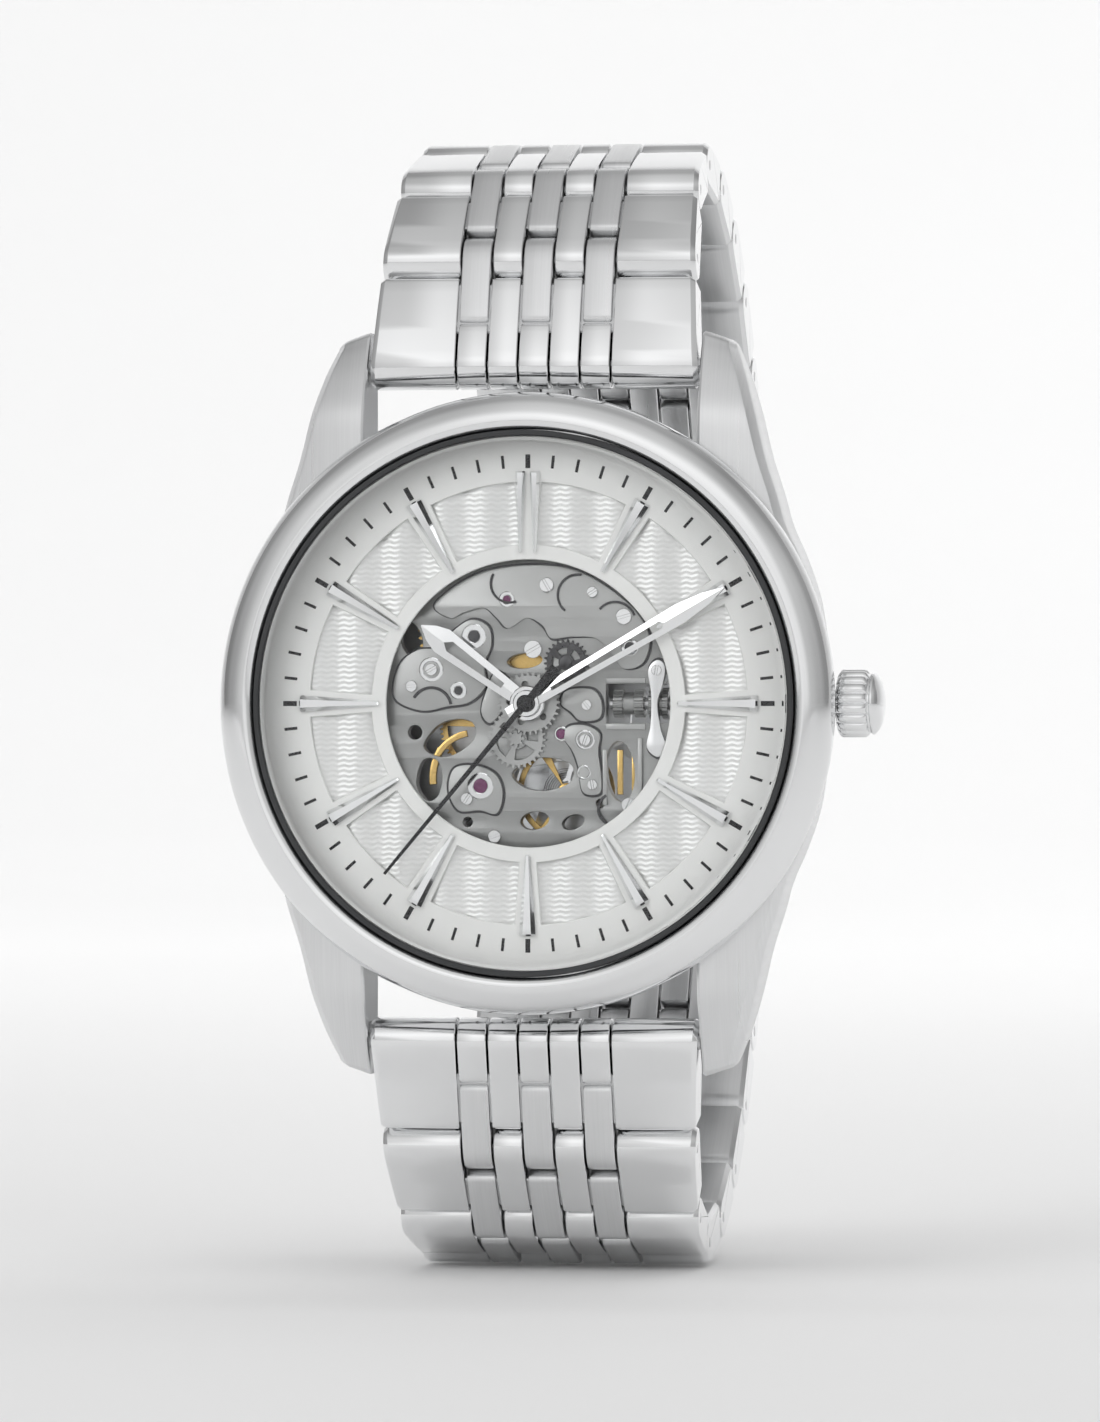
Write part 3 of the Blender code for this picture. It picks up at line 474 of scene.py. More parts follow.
lug = {
    # inner x and y, outer x and y, height of the top and of the underside
    "rows": [
        (18.8, 4.0, 20.4, 3.4, 5.6, 3.0), (17.4, 7.6, 19.8, 7.0, 6.4, 2.3),
        (15.1, 11.4, 18.8, 9.9, 7.0, 1.8), (12.7, 14.2, 17.75, 12.3, 7.25, 1.65),
        (11.66, 16.0, 17.15, 14.4, 7.3, 1.62), (11.66, 18.2, 16.35, 16.9, 7.3, 1.62),
        (11.66, 20.2, 15.6, 20.0, 7.08, 1.62), (11.66, 22.6, 14.9, 22.4, 6.14, 1.7),
        (11.66, 24.3, 14.4, 23.8, 5.3, 1.9), (11.66, 25.2, 14.1, 24.55, 4.75, 2.1),
        (11.68, 25.6, 13.95, 24.9, 4.45, 2.3), (11.8, 25.82, 13.6, 25.2, 4.0, 2.6),
    ],
    "chamfer": 0.55, "chamferDrop": 0.85,
}


def lugShape(signX, signY):
    sections = []
    chamfer, drop = lug["chamfer"], lug["chamferDrop"]
    for innerX, innerY, outerX, outerY, top, bottom in curvedLine(lug["rows"], 5):
        span = outerX - innerX
        slope = (outerY - innerY) / span
        soft = min(1.0, span / 2.4, (top - bottom) / 2.6)
        outline = [(0.0, bottom + 0.25 * soft), (0.0, top - 0.22 * soft), (0.07 * soft, top - 0.07 * soft),
            (0.22 * soft, top), (span - (chamfer + 0.2) * soft, top),
            (span - chamfer * soft, top - 0.05 * soft), (span - 0.08 * soft, top - drop * soft),
            (span, top - (drop + 0.25) * soft), (span, bottom + 0.35 * soft),
            (span - 0.1 * soft, bottom + 0.1 * soft), (span - 0.35 * soft, bottom), (0.25 * soft, bottom)]
        sections.append([((innerX + u) * signX, (innerY + u * slope) * signY, h) for u, h in outline])
    return loftShape(sections)


addPiece("caseBody", latheShape([(17.82, 6.92), (18.9, 6.92), (18.9, 7.88), (19.85, 7.88), (20.1, 7.8),
    (20.5, 7.4), (20.58, 7.1), (20.6, 4.8), (20.56, 2.6), (20.45, 2.1), (19.9, 1.6), (19.0, 1.05),
    (18.8, 1.02), (17.92, 1.02), (17.92, 2.4)], 160), "case", "mirrorSteel", ["case_middle"])
for nameX, signX in (("Right", 1), ("Left", -1)):
    for nameY, signY in (("Upper", 1), ("Lower", -1)):
        addPiece(f"lug{nameY}{nameX}", lugShape(signX, signY), "case", "brushedSteel", ["case_middle"],
            angle=22)
addPiece("caseBack", latheShape([(13.22, 0.1), (13.3, 0.02), (17.8, 0.02), (18.1, 0.2), (18.78, 0.88),
    (17.82, 0.9), (17.8, 2.2), (17.0, 2.2), (17.0, 1.2), (13.22, 1.18)], 128), "case", "crossSteel",
    ["case_back"])
addPiece("caseBackGlass", latheShape([(0, 0.0), (12.95, 0.0), (13.04, 0.08), (13.04, 0.86), (12.95, 0.94),
    (0, 0.94)], 96), "case", "clearSapphire", ["case_back_glass"])
# dark sectors stand in for the notches in the back: painted shade in place of cut notches
addPiece("caseBackNotches", joinShapes([
    plateShape([sectorPoints(16.0, 17.3, a - 3.2, a + 3.2, 4)], 0.0, 0.12, 0.03) for a in range(0, 360, 30)
]), "case", "movementDark")
print("case ready")

# Crown, on its own stem

crown = {"lobes": 18, "start": 21.34, "grooveDepth": 0.24, "grooveShape": 0.6}


def crownShape():
    # distance outward, radius, share of the full groove depth
    stations = [(0.0, 1.9, 0.0), (0.06, 2.1, 0.3), (0.2, 2.28, 1.0), (0.35, 2.34, 1.0), (1.75, 2.34, 1.0),
        (1.98, 2.3, 1.0), (2.12, 2.16, 0.3), (2.18, 2.0, 0.0), (2.28, 1.98, 0.0), (2.32, 2.1, 0.0),
        (2.42, 2.14, 0.0), (2.56, 2.1, 0.0), (2.76, 1.9, 0.0), (2.98, 1.5, 0.0), (3.12, 1.0, 0.0),
        (3.2, 0.5, 0.0), (3.22, 0.12, 0.0)]
    steps, height = crown["lobes"] * 10, head["stemHeight"]
    sections = []
    for along, radius, share in stations:
        ring = []
        for i in range(steps):
            a = 2 * math.pi * i / steps
            groove = 1 - abs(math.cos(crown["lobes"] / 2 * a)) ** crown["grooveShape"]
            reach = radius - groove * crown["grooveDepth"] * share
            ring.append((crown["start"] + along, reach * math.cos(a), height + reach * math.sin(a)))
        sections.append(ring)
    return loftShape(sections)


addPiece("crown", crownShape(), "crown_stem", "mirrorSteel", ["crown"], angle=50)
addPiece("crownTube", alongX(latheShape([(0.58, 17.9), (0.98, 17.9), (0.98, 21.22), (0.9, 21.3),
    (0.58, 21.3)], 48), head["stemHeight"]), "case", "mirrorSteel", ["crown_tube"])
print("crown ready")

# Dial

dial = {
    "panelInner": 11.0, "panelOuter": 15.3, "floorInner": 10.6, "floorOuter": 15.75, "floorTop": 7.36,
    "floorUnder": 7.22, "rings": 64, "steps": 1500, "bandStep": 3.0, "bandDepth": 0.12,
    "waveStep": 0.36, "waveDepth": 0.011, "waveLean": 0.05, "waveLength": 0.8,
    "tickInner": 16.25, "tickOuter": 17.2, "markerInner": 10.45, "markerOuter": 16.05,
}


def engravedHeight(x, y):
    band = math.cos(2 * math.pi * x / dial["bandStep"])
    lean = dial["waveLean"] * math.sin(2 * math.pi * x / dial["waveLength"])
    wave = math.sin(2 * math.pi * (y + lean) / dial["waveStep"])
    return dial["floorTop"] + dial["bandDepth"] * band + dial["waveDepth"] * wave


def engravedFloor():
    # wavy lines run across broad upright bands
    inner, outer, rings = dial["floorInner"], dial["floorOuter"], dial["rings"]
    flat = [circlePoints(inner + (outer - inner) * j / rings, dial["steps"]) for j in range(rings + 1)]
    sections = [[(x, y, engravedHeight(x, y)) for x, y in ring] for ring in flat]
    ends = [[(x, y, dial["floorUnder"]) for x, y in flat[k]] for k in (0, -1)]
    return loftShape([ends[0]] + sections + [ends[1]], True)


addPiece("dialEngraving", engravedFloor(), "case", "engravedSilver", ["dial_plate"], angle=80)


def dialRing():
    outlines = [circlePoints(head["dialRadius"], 160), circlePoints(head["aperture"], 128)]
    inner, outer = dial["panelInner"], dial["panelOuter"]
    for hour in range(12):
        middle = 90 - hour * 30
        trimIn = math.degrees(0.62 / inner)
        trimOut = math.degrees(0.95 / outer)
        outlines.append(arcPoints(outer, middle - 30 + trimOut, middle - trimOut, 14)
                        + arcPoints(inner, middle - trimIn, middle - 30 + trimIn, 12))
    return plateShape(outlines, 7.5, 7.72, 0.05)


addPiece("dialRing", dialRing(), "case", "dialSilver", ["dial_frame"], angle=25)


def minuteTicks():
    ticks = []
    for minute in range(60):
        onHour = minute % 5 == 0
        half = 0.17 if onHour else 0.1
        near = dial["tickInner"] + (0.0 if onHour else 0.05)
        ticks.append(turnAbout(plateShape([boxPoints(-half, near, half, dial["tickOuter"])], 7.7, 7.745,
            0.008), -6 * minute))
    return joinShapes(ticks)


addPiece("minuteTicks", minuteTicks(), "case", "blackLacquerAndShadow", ["dial_frame"])


def baton(offset=0.0, slim=1.0):
    near, far, foot = dial["markerInner"], dial["markerOuter"], 7.68
    rows = [(near, 0.17, 0.06, 7.98), (near + 0.1, 0.19, 0.08, 8.03), (far - 0.5, 0.55, 0.27, 8.2),
            (far - 0.12, 0.57, 0.3, 8.2), (far, 0.55, 0.24, 7.95)]
    sections = []
    for y, half, flat, top in rows:
        half, flat = half * slim, flat * slim
        shoulder = foot + (top - foot) * 0.45
        sections.append([(offset + x, y, h) for x, h in (
            (-half, foot), (-half, shoulder), (-flat, top), (flat, top), (half, shoulder), (half, foot))])
    return loftShape(sections)


markers = [turnAbout(baton(), -30 * hour) for hour in range(1, 12)]
markers += [baton(0.5, 0.62), baton(-0.5, 0.62)]
addPiece("hourMarkers", joinShapes(markers), "case", "mirrorSteel", ["dial_frame"], angle=12)
print("dial ready")

# Hands

hands = {"hour": -306.0, "minute": -60.0, "second": -220.0}


def handBlade(rows, slot, base, hub, bore):
    # rows: reach, half width, ridge height
    blade = loftShape([[(-half, y, base), (-half, y, base + 0.05), (0, y, base + ridge),
        (half, y, base + 0.05), (half, y, base)] for y, half, ridge in rows])
    blade = cutShape(blade, plateShape([slot], base - 1, base + 1))
    boss = latheShape([(bore, base - 0.02), (hub, base - 0.02), (hub, base + 0.12), (hub - 0.06, base + 0.18),
                       (bore, base + 0.18)], 64)
    return joinShapes([blade, boss])


def taperedSlot(near, far, nearHalf, farHalf):
    return [(-nearHalf, near), (nearHalf, near), (farHalf, far), (0, far + farHalf * 1.2), (-farHalf, far)]


hourRows = [(-0.6, 0.5, 0.14), (0.6, 0.56, 0.16), (7.4, 0.94, 0.2), (8.3, 0.62, 0.19), (9.18, 0.05, 0.08)]
hourBlade = handBlade(hourRows, taperedSlot(2.1, 6.7, 0.2, 0.4), 7.98, 1.22, 0.84)
addPiece("hourHand", hourBlade, "hours_train", "mirrorSteel", ["hour_hand"], turnedSpace(0, 0, hands["hour"]),
         angle=12)
minuteRows = [(-1.5, 0.44, 0.1), (0.8, 0.5, 0.14), (12.4, 0.7, 0.2), (14.4, 0.46, 0.17), (15.88, 0.04, 0.07)]
minuteBlade = handBlade(minuteRows, taperedSlot(2.0, 10.8, 0.13, 0.27), 8.36, 0.93, 0.54)
addPiece("minuteHand", minuteBlade, "minutes_train", "mirrorSteel", ["minute_hand"],
         turnedSpace(0, 0, hands["minute"]), angle=12)
needle = joinShapes([plateShape([[(-0.32, -3.28), (0.32, -3.28), (0.22, -0.3), (0.2, 0.6), (0.1, 15.38),
    (-0.1, 15.38), (-0.2, 0.6), (-0.22, -0.3)]], 8.75, 8.85, 0.015),
    latheShape([(0, 8.74), (0.58, 8.74), (0.6, 8.76), (0.6, 8.9), (0.52, 8.97), (0, 8.99)], 48)])
addPiece("secondsHand", needle, "seconds_train", "blackLacquerAndShadow", ["seconds_hand"],
         turnedSpace(0, 0, hands["second"]))
print("hands ready")

# Going train, balance and motion works

train = {"third": (-3.3974, -1.657), "escape": (3.4506, -1.5798), "barrel": (-3.0199, 5.1267),
    "minute": (-0.8893, -2.4432), "balance": (2.1, -6.1), "crownWheel": (4.5125, 2.6793),
    "centreModule": 0.105, "thirdModule": 0.11118, "fourthModule": 0.115, "barrelModule": 0.17,
    "motionModule": 0.13, "windingModule": 0.22}


def spokedWheel(teeth, module, low, high, hub, spokes, web, start=0.0, rim=0.7, edge=0.012):
    root = teeth * module / 2 - module
    inner, outer = hub, root - rim * 0.5
    windows = []
    for i in range(spokes):
        first = start + 360 / spokes * i + web / 2
        last = start + 360 / spokes * (i + 1) - web / 2
        windows.append(sectorPoints(inner, outer, first, last, 10))
    return plateShape([toothPoints(teeth, module, start)] + windows, low, high, edge)


def rod(radius, low, high, sides=24):
    return latheShape([(0, low), (radius * 0.8, low), (radius, low + 0.03), (radius, high - 0.03),
        (radius * 0.8, high), (0, high)], sides)


def pipe(inner, outer, low, high, sides=40):
    return latheShape([(inner, low), (outer - 0.03, low), (outer, low + 0.03), (outer, high - 0.03),
                       (outer - 0.03, high), (inner, high)], sides)


addPiece("fourthWheel", joinShapes([
    spokedWheel(60, train["fourthModule"], 3.77, 3.87, 0.8, 5, 16, 335.4),
    plateShape([toothPoints(8, train["thirdModule"], 228.5, 0.6)], 3.86, 4.19), rod(0.15, 3.57, 8.74),
]), "seconds_train", "giltBrass", ["fourth_wheel"])
addPiece("centreWheel", joinShapes([
    spokedWheel(64, train["centreModule"], 4.31, 4.39, 0.9, 5, 16, 206),
    plateShape([toothPoints(10, train["barrelModule"], 138.5, 0.6)], 4.38, 5.28), pipe(0.2, 0.31, 5.2, 8.19),
]), "minutes_train", "giltBrass", ["centre_wheel"])
addPiece("thirdWheel", joinShapes([
    spokedWheel(60, train["thirdModule"], 4.01, 4.09, 0.8, 5, 16, 26),
    plateShape([toothPoints(8, train["centreModule"], 48.5, 0.6)], 4.08, 4.89), rod(0.15, 3.57, 5.39),
]), "third_wheel", "giltBrass", ["third_wheel"], turnedSpace(*train["third"]))
addPiece("barrelDrum", joinShapes([plateShape([toothPoints(60, train["barrelModule"], 300.5)], 4.51, 4.65,
    0.02), latheShape([(0, 4.62), (4.55, 4.62), (4.6, 4.68), (4.6, 5.2), (4.5, 5.28), (4.3, 5.28),
    (4.25, 5.2), (1.2, 5.2), (1.1, 5.28), (0, 5.28)], 96), rod(0.58, 3.57, 5.41)]), "barrel", "giltBrass",
    ["barrel"], turnedSpace(*train["barrel"]))


def escapeOutline():
    return repeatedPoints(15, 0, ((0.0, 1.79), (0.1, 1.77), (0.22, 1.52), (0.45, 1.4), (0.75, 1.42),
        (0.92, 1.6)))


addPiece("escapeWheel", joinShapes([
    plateShape([escapeOutline()] + [sectorPoints(0.42, 1.18, 90 * i + 12, 90 * i + 78, 8) for i in range(4)],
               4.955, 5.065, 0.01),
    plateShape([toothPoints(6, train["fourthModule"], 185.4, 0.5)], 3.67, 4.29), rod(0.12, 3.57, 5.39),
]), "escape_wheel", "mirrorSteel", ["escape_wheel"], turnedSpace(*train["escape"]))


def balanceShape():
    rimHoles = [sectorPoints(0.6, 3.02, 120 * i + 6, 120 * i + 114, 20) for i in range(3)]
    parts = [plateShape([circlePoints(3.42, 96)] + rimHoles, 3.97, 4.18, 0.03)]
    for i in range(12):
        a = math.radians(30 * i + 15)
        parts.append(setAt(rod(0.13, 3.97, 4.195, 12), 3.22 * math.cos(a), 3.22 * math.sin(a)))
    parts += [rod(0.48, 4.67, 4.79), rod(0.13, 3.57, 5.41)]
    return joinShapes(parts)


addPiece("balanceWheel", balanceShape(), "balance", "giltBrass", ["balance_wheel"],
    turnedSpace(*train["balance"]))


def hairspringShape():
    turns, perTurn = 8, 40
    sections = []
    for i in range(turns * perTurn + 1):
        a = 2 * math.pi * i / perTurn
        radius = 0.5 + 1.2 * i / (turns * perTurn)
        c, s = math.cos(a), math.sin(a)
        sections.append([((radius + du) * c, (radius + du) * s, 3.78 + dh)
                         for du, dh in ((-0.016, -0.045), (0.016, -0.045), (0.016, 0.045), (-0.016, 0.045))])
    return loftShape(sections)


addPiece("hairspring", hairspringShape(), "balance", "movementDark", ["hairspring"],
    turnedSpace(*train["balance"]))
motionWheel = joinShapes([
    spokedWheel(30, train["motionModule"], 6.84, 6.96, 0.7, 4, 26, 430),
    plateShape([toothPoints(8, train["motionModule"], 92.5, 0.6)], 6.95, 7.35),
])
addPiece("minuteWheel", motionWheel, "minute_wheel", "movementCover", ["minute_wheel"],
    turnedSpace(*train["minute"]))
addPiece("cannonPinion", joinShapes([
    plateShape([toothPoints(10, train["motionModule"], 268, 0.6), circlePoints(0.35, 32)], 6.81, 7.01),
    pipe(0.35, 0.49, 7.0, 8.49),
]), "minutes_train", "mirrorSteel", ["cannon_pinion"])
addPiece("hourWheel", joinShapes([
    plateShape([toothPoints(32, train["motionModule"], 250), circlePoints(0.58, 32)]
               + [circlePoints(0.24, 16, (1.35 * math.cos(math.radians(a)), 1.35 * math.sin(math.radians(a))))
                  for a in range(30, 390, 72)], 7.21, 7.33, 0.015),
    pipe(0.57, 0.79, 7.3, 8.11),
]), "hours_train", "movementCover", ["hour_wheel"])
print("train ready")

# Mainplate and the small parts on its dial side

plateTop = 6.7
openings = [curvedLine([(-7.5, -3.0), (-6.3, -3.7), (-4.9, -3.3), (-3.9, -2.3), (-4.1, -1.3), (-5.3, -1.1),
    (-6.6, -1.6)], 6, True), curvedLine([(-8.0, -5.6), (-7.3, -6.7), (-6.5, -6.4), (-6.2, -5.0),
    (-6.6, -3.9), (-7.6, -4.0)], 6, True), curvedLine([(-1.3, -4.8), (-0.4, -5.8), (1.2, -6.0), (2.7, -5.5),
    (3.0, -4.5), (2.2, -3.9), (0.4, -3.8)], 6, True), circlePoints(1.0, 32, (0.3, -8.1), 0.62, 8),
    circlePoints(0.8, 32, (3.0, -8.2), 0.62, 20), circlePoints(0.75, 32, (-8.35, 4.4), 1.7, 15),
    circlePoints(1.25, 32, (-0.4, 2.95), 0.42, 5), circlePoints(1.0, 32, (6.3, -4.7), 2.1, 4),
    circlePoints(0.5, 24, (-8.1, -2.0)), circlePoints(0.36, 24, (3.8, -4.75)),
    circlePoints(0.42, 24, (9.2, 1.75)), circlePoints(0.3, 24, (4.9, -6.9)),
    circlePoints(0.34, 24, (-4.4, -8.2)), circlePoints(0.32, 24, (7.6, 4.9)), circlePoints(0.36, 24)]
stemSlot = [(10.2, -0.7), (10.2, -1.35), (5.3, -1.35), (5.3, 1.35), (10.2, 1.35), (10.2, 0.7)]
addPiece("mainplate", plateShape([arcPoints(12.75, 3.2, 356.8, 96) + stemSlot] + openings, 5.52, plateTop,
    0.07, 1), "case", "movementGrey", ["mainplate"], angle=30)
coverPlates = {"upperCover": [(-6.6, 7.0), (-3.0, 9.2), (2.6, 9.4), (6.6, 7.2), (8.3, 4.9), (8.0, 2.9),
    (6.6, 2.4), (5.6, 3.6), (4.6, 4.5), (2.9, 4.6), (1.5, 4.5), (0.9, 5.4), (-0.2, 5.9), (-1.5, 5.2),
    (-2.3, 5.9), (-3.2, 6.6), (-4.6, 6.3), (-5.6, 5.9)], "leftCover": [(-9.5, 0.4), (-9.2, 2.6),
    (-7.9, 3.7), (-6.4, 3.9), (-5.4, 5.0), (-4.1, 5.8), (-2.9, 5.3), (-2.7, 4.0), (-3.2, 2.7), (-3.1, 1.2),
    (-4.2, 0.1), (-5.8, -0.2), (-7.6, -0.5)], "lowerCover": [(-5.3, -4.5), (-3.8, -4.3), (-2.4, -4.9),
    (-1.9, -6.2), (-2.3, -7.6), (-3.5, -7.4), (-5.0, -7.4), (-5.7, -6.0)],
    "wheelCover": [(-2.6, -1.3), (-1.2, 0.9), (-2.3, 2.2), (-3.0, 1.0), (-3.4, -0.6)],
    "rightCover": [(2.6, 0.9), (4.3, 1.0), (5.0, 0.2), (4.9, -1.0), (3.6, -1.2), (2.9, -0.6), (2.2, 0.0)],
    "jewelCover": [(2.7, -1.6), (3.9, -1.5), (4.9, -2.1), (4.8, -3.3), (5.0, -5.0), (4.9, -6.2),
    (3.7, -6.1), (3.4, -4.4), (3.0, -3.3), (2.4, -2.4)], "settingCover": [(8.3, 2.3), (8.9, 3.0),
    (9.5, 2.6), (9.3, 1.2), (8.95, 0.0), (9.2, -1.8), (9.6, -3.0), (9.0, -3.7), (8.2, -3.0), (8.45, -1.5),
    (8.5, 0.6)]}


def widened(corners, margin):
    # each corner moves straight out from the middle of the outline
    midX = sum(x for x, y in corners) / len(corners)
    midY = sum(y for x, y in corners) / len(corners)
    moved = []
    for x, y in corners:
        reach = math.hypot(x - midX, y - midY)
        moved.append((x + (x - midX) / reach * margin, y + (y - midY) / reach * margin))
    return moved


for name, corners in coverPlates.items():
    addPiece(name, plateShape([curvedLine(corners, 6, True)], 6.69, 6.98 if name != "settingCover" else 7.1,
        0.06, 1), "case", "brushedSteel" if name == "settingCover" else "movementCover")
    # a wider dark plate under each cover is a painted shadow line round its edge
    addPiece(name + "ShadowRim", plateShape([curvedLine(widened(corners, 0.17), 6, True)], 6.6, 6.74, 0.02),
        "case", "movementDark")


def crescent(x, y, radius, first, last, width=0.16, high=7.1):
    return plateShape([sectorPoints(radius - width, radius, first, last, 16, (x, y))], 6.9, high, 0.02)


addPiece("springWires", joinShapes([
    crescent(-1.4, 8.3, 1.4, 150, 290), crescent(3.4, 7.5, 1.5, 80, 230), crescent(6.0, 5.6, 1.5, 20, 140),
    crescent(-6.9, -0.3, 1.5, 10, 150, 0.2), crescent(5.9, -7.3, 1.2, 120, 330, 0.2, 6.98),
]), "case", "movementDark")


def screwShape(x, y, radius, base, lean):
    # a slotted head: two halves on a thin disc
    disc = [(0, base), (radius * 0.9, base), (radius * 0.9, base + 0.07), (0, base + 0.07)]
    parts = [setAt(latheShape(disc, 32), x, y)]
    slot = 0.07
    turn = Matrix.Translation((x, y, 0)) @ Matrix.Rotation(math.radians(lean), 4, "Z")
    for side, sign in ((0, 1), (180, -1)):
        half = [(px, max(py * sign, slot) * sign) for px, py in arcPoints(radius, side + 8, side + 172, 20)]
        parts.append(movedShape(plateShape([half], base + 0.05, base + 0.2, 0.03), turn))
    return joinShapes(parts)


screws = [(-6.9, 2.35, 0.42, 6.98, 30), (0.2, 3.75, 0.62, 6.7, 30), (3.9, -2.5, 0.4, 6.98, 70),
    (6.6, 6.0, 0.55, 6.98, 15), (-4.4, -6.6, 0.42, 6.98, 55), (1.2, 8.2, 0.5, 6.98, 120),
    (-8.3, 1.2, 0.4, 6.98, 5), (8.9, 2.3, 0.36, 7.1, 80), (4.0, -0.1, 0.36, 6.98, 130),
    (-5.0, 7.4, 0.45, 6.7, 40), (6.9, -7.0, 0.5, 6.7, 65), (-2.5, -9.2, 0.45, 6.7, 20),
    (4.4, -5.6, 0.36, 6.98, 100), (4.4, 7.7, 0.38, 6.98, 33)]
addPiece("movementScrews", joinShapes([screwShape(*screw) for screw in screws]), "case", "mirrorSteel",
         angle=30)


def washer(x, y, inner, outer, base, high):
    return setAt(latheShape([(inner, base), (inner, high - 0.04), (inner + 0.05, high), (outer - 0.05, high),
                             (outer, high - 0.04), (outer, base)], 48), x, y)


washers = [(-6.9, 2.35, 0.56, 0.85, 6.95, 7.06), (-3.9, 4.65, 0.42, 0.86, 6.95, 7.08),
    (-3.45, -5.7, 0.5, 0.92, 6.95, 7.1), (2.2, -2.1, 0.34, 0.52, 6.68, 6.8),
    (3.9, -2.5, 0.5, 0.68, 6.95, 7.05), (-5.0, 0.9, 0.3, 0.6, 6.95, 7.05),
    (7.0, 3.9, 0.35, 0.62, 6.95, 7.05), (-1.6, 7.2, 0.3, 0.55, 6.95, 7.04),
    (3.8, -4.75, 0.36, 0.5, 6.68, 7.02)]
addPiece("jewelSettings", joinShapes([washer(*spec) for spec in washers]), "case", "mirrorSteel")
addPiece("jewels", joinShapes([
    setAt(latheShape([(0, 6.9), (r, 6.9), (r, top - 0.05), (r * 0.75, top), (r * 0.25, top - 0.01),
                      (0, top - 0.05)], 32), x, y)
    for x, y, r, top in ((-3.45, -5.7, 0.49, 7.07), (2.2, -2.1, 0.33, 6.98), (-1.6, 7.2, 0.29, 7.02))
]), "case", "rubyJewel")
# dark discs in the bores of three settings are painted shade for the holes
addPiece("darkSinks", joinShapes([
    setAt(latheShape([(0, 6.9), (r, 6.9), (r, 7.0), (0, 7.0)], 32), x, y)
    for x, y, r in ((-3.9, 4.65, 0.41), (7.0, 3.9, 0.34), (-5.0, 0.9, 0.29))
]), "case", "movementDark")
addPiece("intermediateWheel", joinShapes([plateShape([toothPoints(26, 0.115, 3)]
    + [sectorPoints(0.55, 1.0, 72 * i + 14, 72 * i + 58, 6) for i in range(5)], 6.74, 6.9, 0.015),
    rod(0.42, 6.7, 7.0)]), "case", "movementDark", space=turnedSpace(2.55, 2.85))
addPiece("settingBars", joinShapes([plateShape([boxPoints(*corners)], 6.66, top, 0.05, 1) for corners,
    top in (((5.35, 1.42, 8.1, 1.75), 6.96), ((5.35, -1.8, 8.1, -1.42), 6.96),
    ((7.55, -6.4, 7.85, -2.4), 6.92), ((5.1, -7.0, 5.4, -3.2), 6.92))]), "case", "movementCover")
addPiece("gildedLevers", joinShapes([
    plateShape([sectorPoints(2.75, 3.2, 100, 158, 20, (-4.0, -5.0))], 5.9, 6.3, 0.08, 1),
    plateShape([sectorPoints(3.7, 4.2, 148, 186, 16, (-3.0, -5.2))], 5.8, 6.25, 0.08, 1),
    plateShape([boxPoints(6.0, -6.3, 6.4, -3.2)], 5.8, 6.2, 0.08, 1),
    plateShape([boxPoints(7.0, -6.0, 7.25, -3.4)], 5.8, 6.1, 0.06, 1),
]), "case", "giltBrass")


def toothedDrum(name, low, high, teeth, tip, node):
    # a toothed rim at each end and a neck between them
    points = repeatedPoints(teeth, 0, ((0.0, tip), (0.36, tip), (0.5, tip - 0.16), (0.86, tip - 0.16)))
    rim, bore = (high - low) * 0.32, circlePoints(0.5, 24)
    shape = joinShapes([
        plateShape([points, bore], low, low + rim, 0.03), plateShape([points, bore], high - rim, high, 0.03),
        plateShape([circlePoints(tip * 0.78, 40), bore], low + rim - 0.02, high - rim + 0.02, 0.02),
    ])
    addPiece(name, alongX(shape, head["stemHeight"]), node, "movementGrey", [node])


toothedDrum("slidingPinion", 5.72, 7.88, 18, 0.98, "sliding_pinion")
toothedDrum("windingPinion", 8.22, 9.58, 20, 1.1, "winding_pinion")

# Bridges, winding wheels and rotor, seen through the case back

def pie(radius, first, last):
    return arcPoints(radius, first, last, 40)


bridges = {
    "barrel_bridge": [sectorPoints(2.7, 12.4, 32, 172, 40)],
    "train_bridge": [pie(12.4, 176, 236) + [(-1.6, -4.6), (3.9, -3.6), (6.4, -2.6), (6.6, 0.2), (1.9, 1.0),
                                            (-2.5, 0.3)]],
    "balance_cock": [pie(12.4, 262, 312) + [(3.4, -5.0), (2.4, -4.7), (1.2, -4.9), (0.6, -6.0)]],
}
for node, outlines in bridges.items():
    addPiece(node + "_plate", plateShape(outlines, 2.72, 3.48, 0.08, 1), "case", "crossSteel", [node])
rotorParts = [plateShape([pie(12.0, 200, 340) + [(1.6, 0.4), (-1.6, 0.4)]]
    + [sectorPoints(4.0, 9.4, 208 + 43 * i, 242 + 43 * i, 16) for i in range(3)], 1.36, 1.64, 0.05, 1),
    plateShape([sectorPoints(10.4, 12.4, 202, 338, 48)], 1.5, 2.24, 0.1, 1),
    latheShape([(0, 1.26), (1.2, 1.26), (1.3, 1.34), (1.9, 1.34), (2.0, 1.44), (2.0, 2.1), (1.9, 2.19),
    (0, 2.19)], 64)]
addPiece("rotorWeight", joinShapes(rotorParts), "rotor", "crossSteel", ["rotor"])
for name, node, teeth, centre, start, top in (
    ("ratchetWheel", "ratchet_wheel", 40, train["barrel"], -18, 3.3),
    ("crownWheel", "crown_wheel", 32, train["crownWheel"], 167.6, 2.6),
):
    shape = joinShapes([plateShape([toothPoints(teeth, train["windingModule"], start)], 2.37, 2.59, 0.04),
                        rod(0.7, 2.31, top)])
    addPiece(name, shape, node, "crossSteel", [node], turnedSpace(*centre))
print("movement ready")

# Bracelet: every row has four polished links and three satin ones, half a pitch further on

bracelet = {"pitch": 6.75, "firstPitch": 7.8, "thickness": 3.2, "group": 10.86, "gap": 0.13,
    "cornerRound": 0.42, "heelRound": 0.2, "crown": 0.07, "sideBevel": 0.3, "seamBevel": 0.13,
    "endBlock": 2.75, "angles": (17, 41, 72, 102, 118, 130, 141, 152), "halfWidths": (11.45, 10.95, 10.5,
    10.2, 10.2, 10.2, 10.2, 10.2, 10.2)}


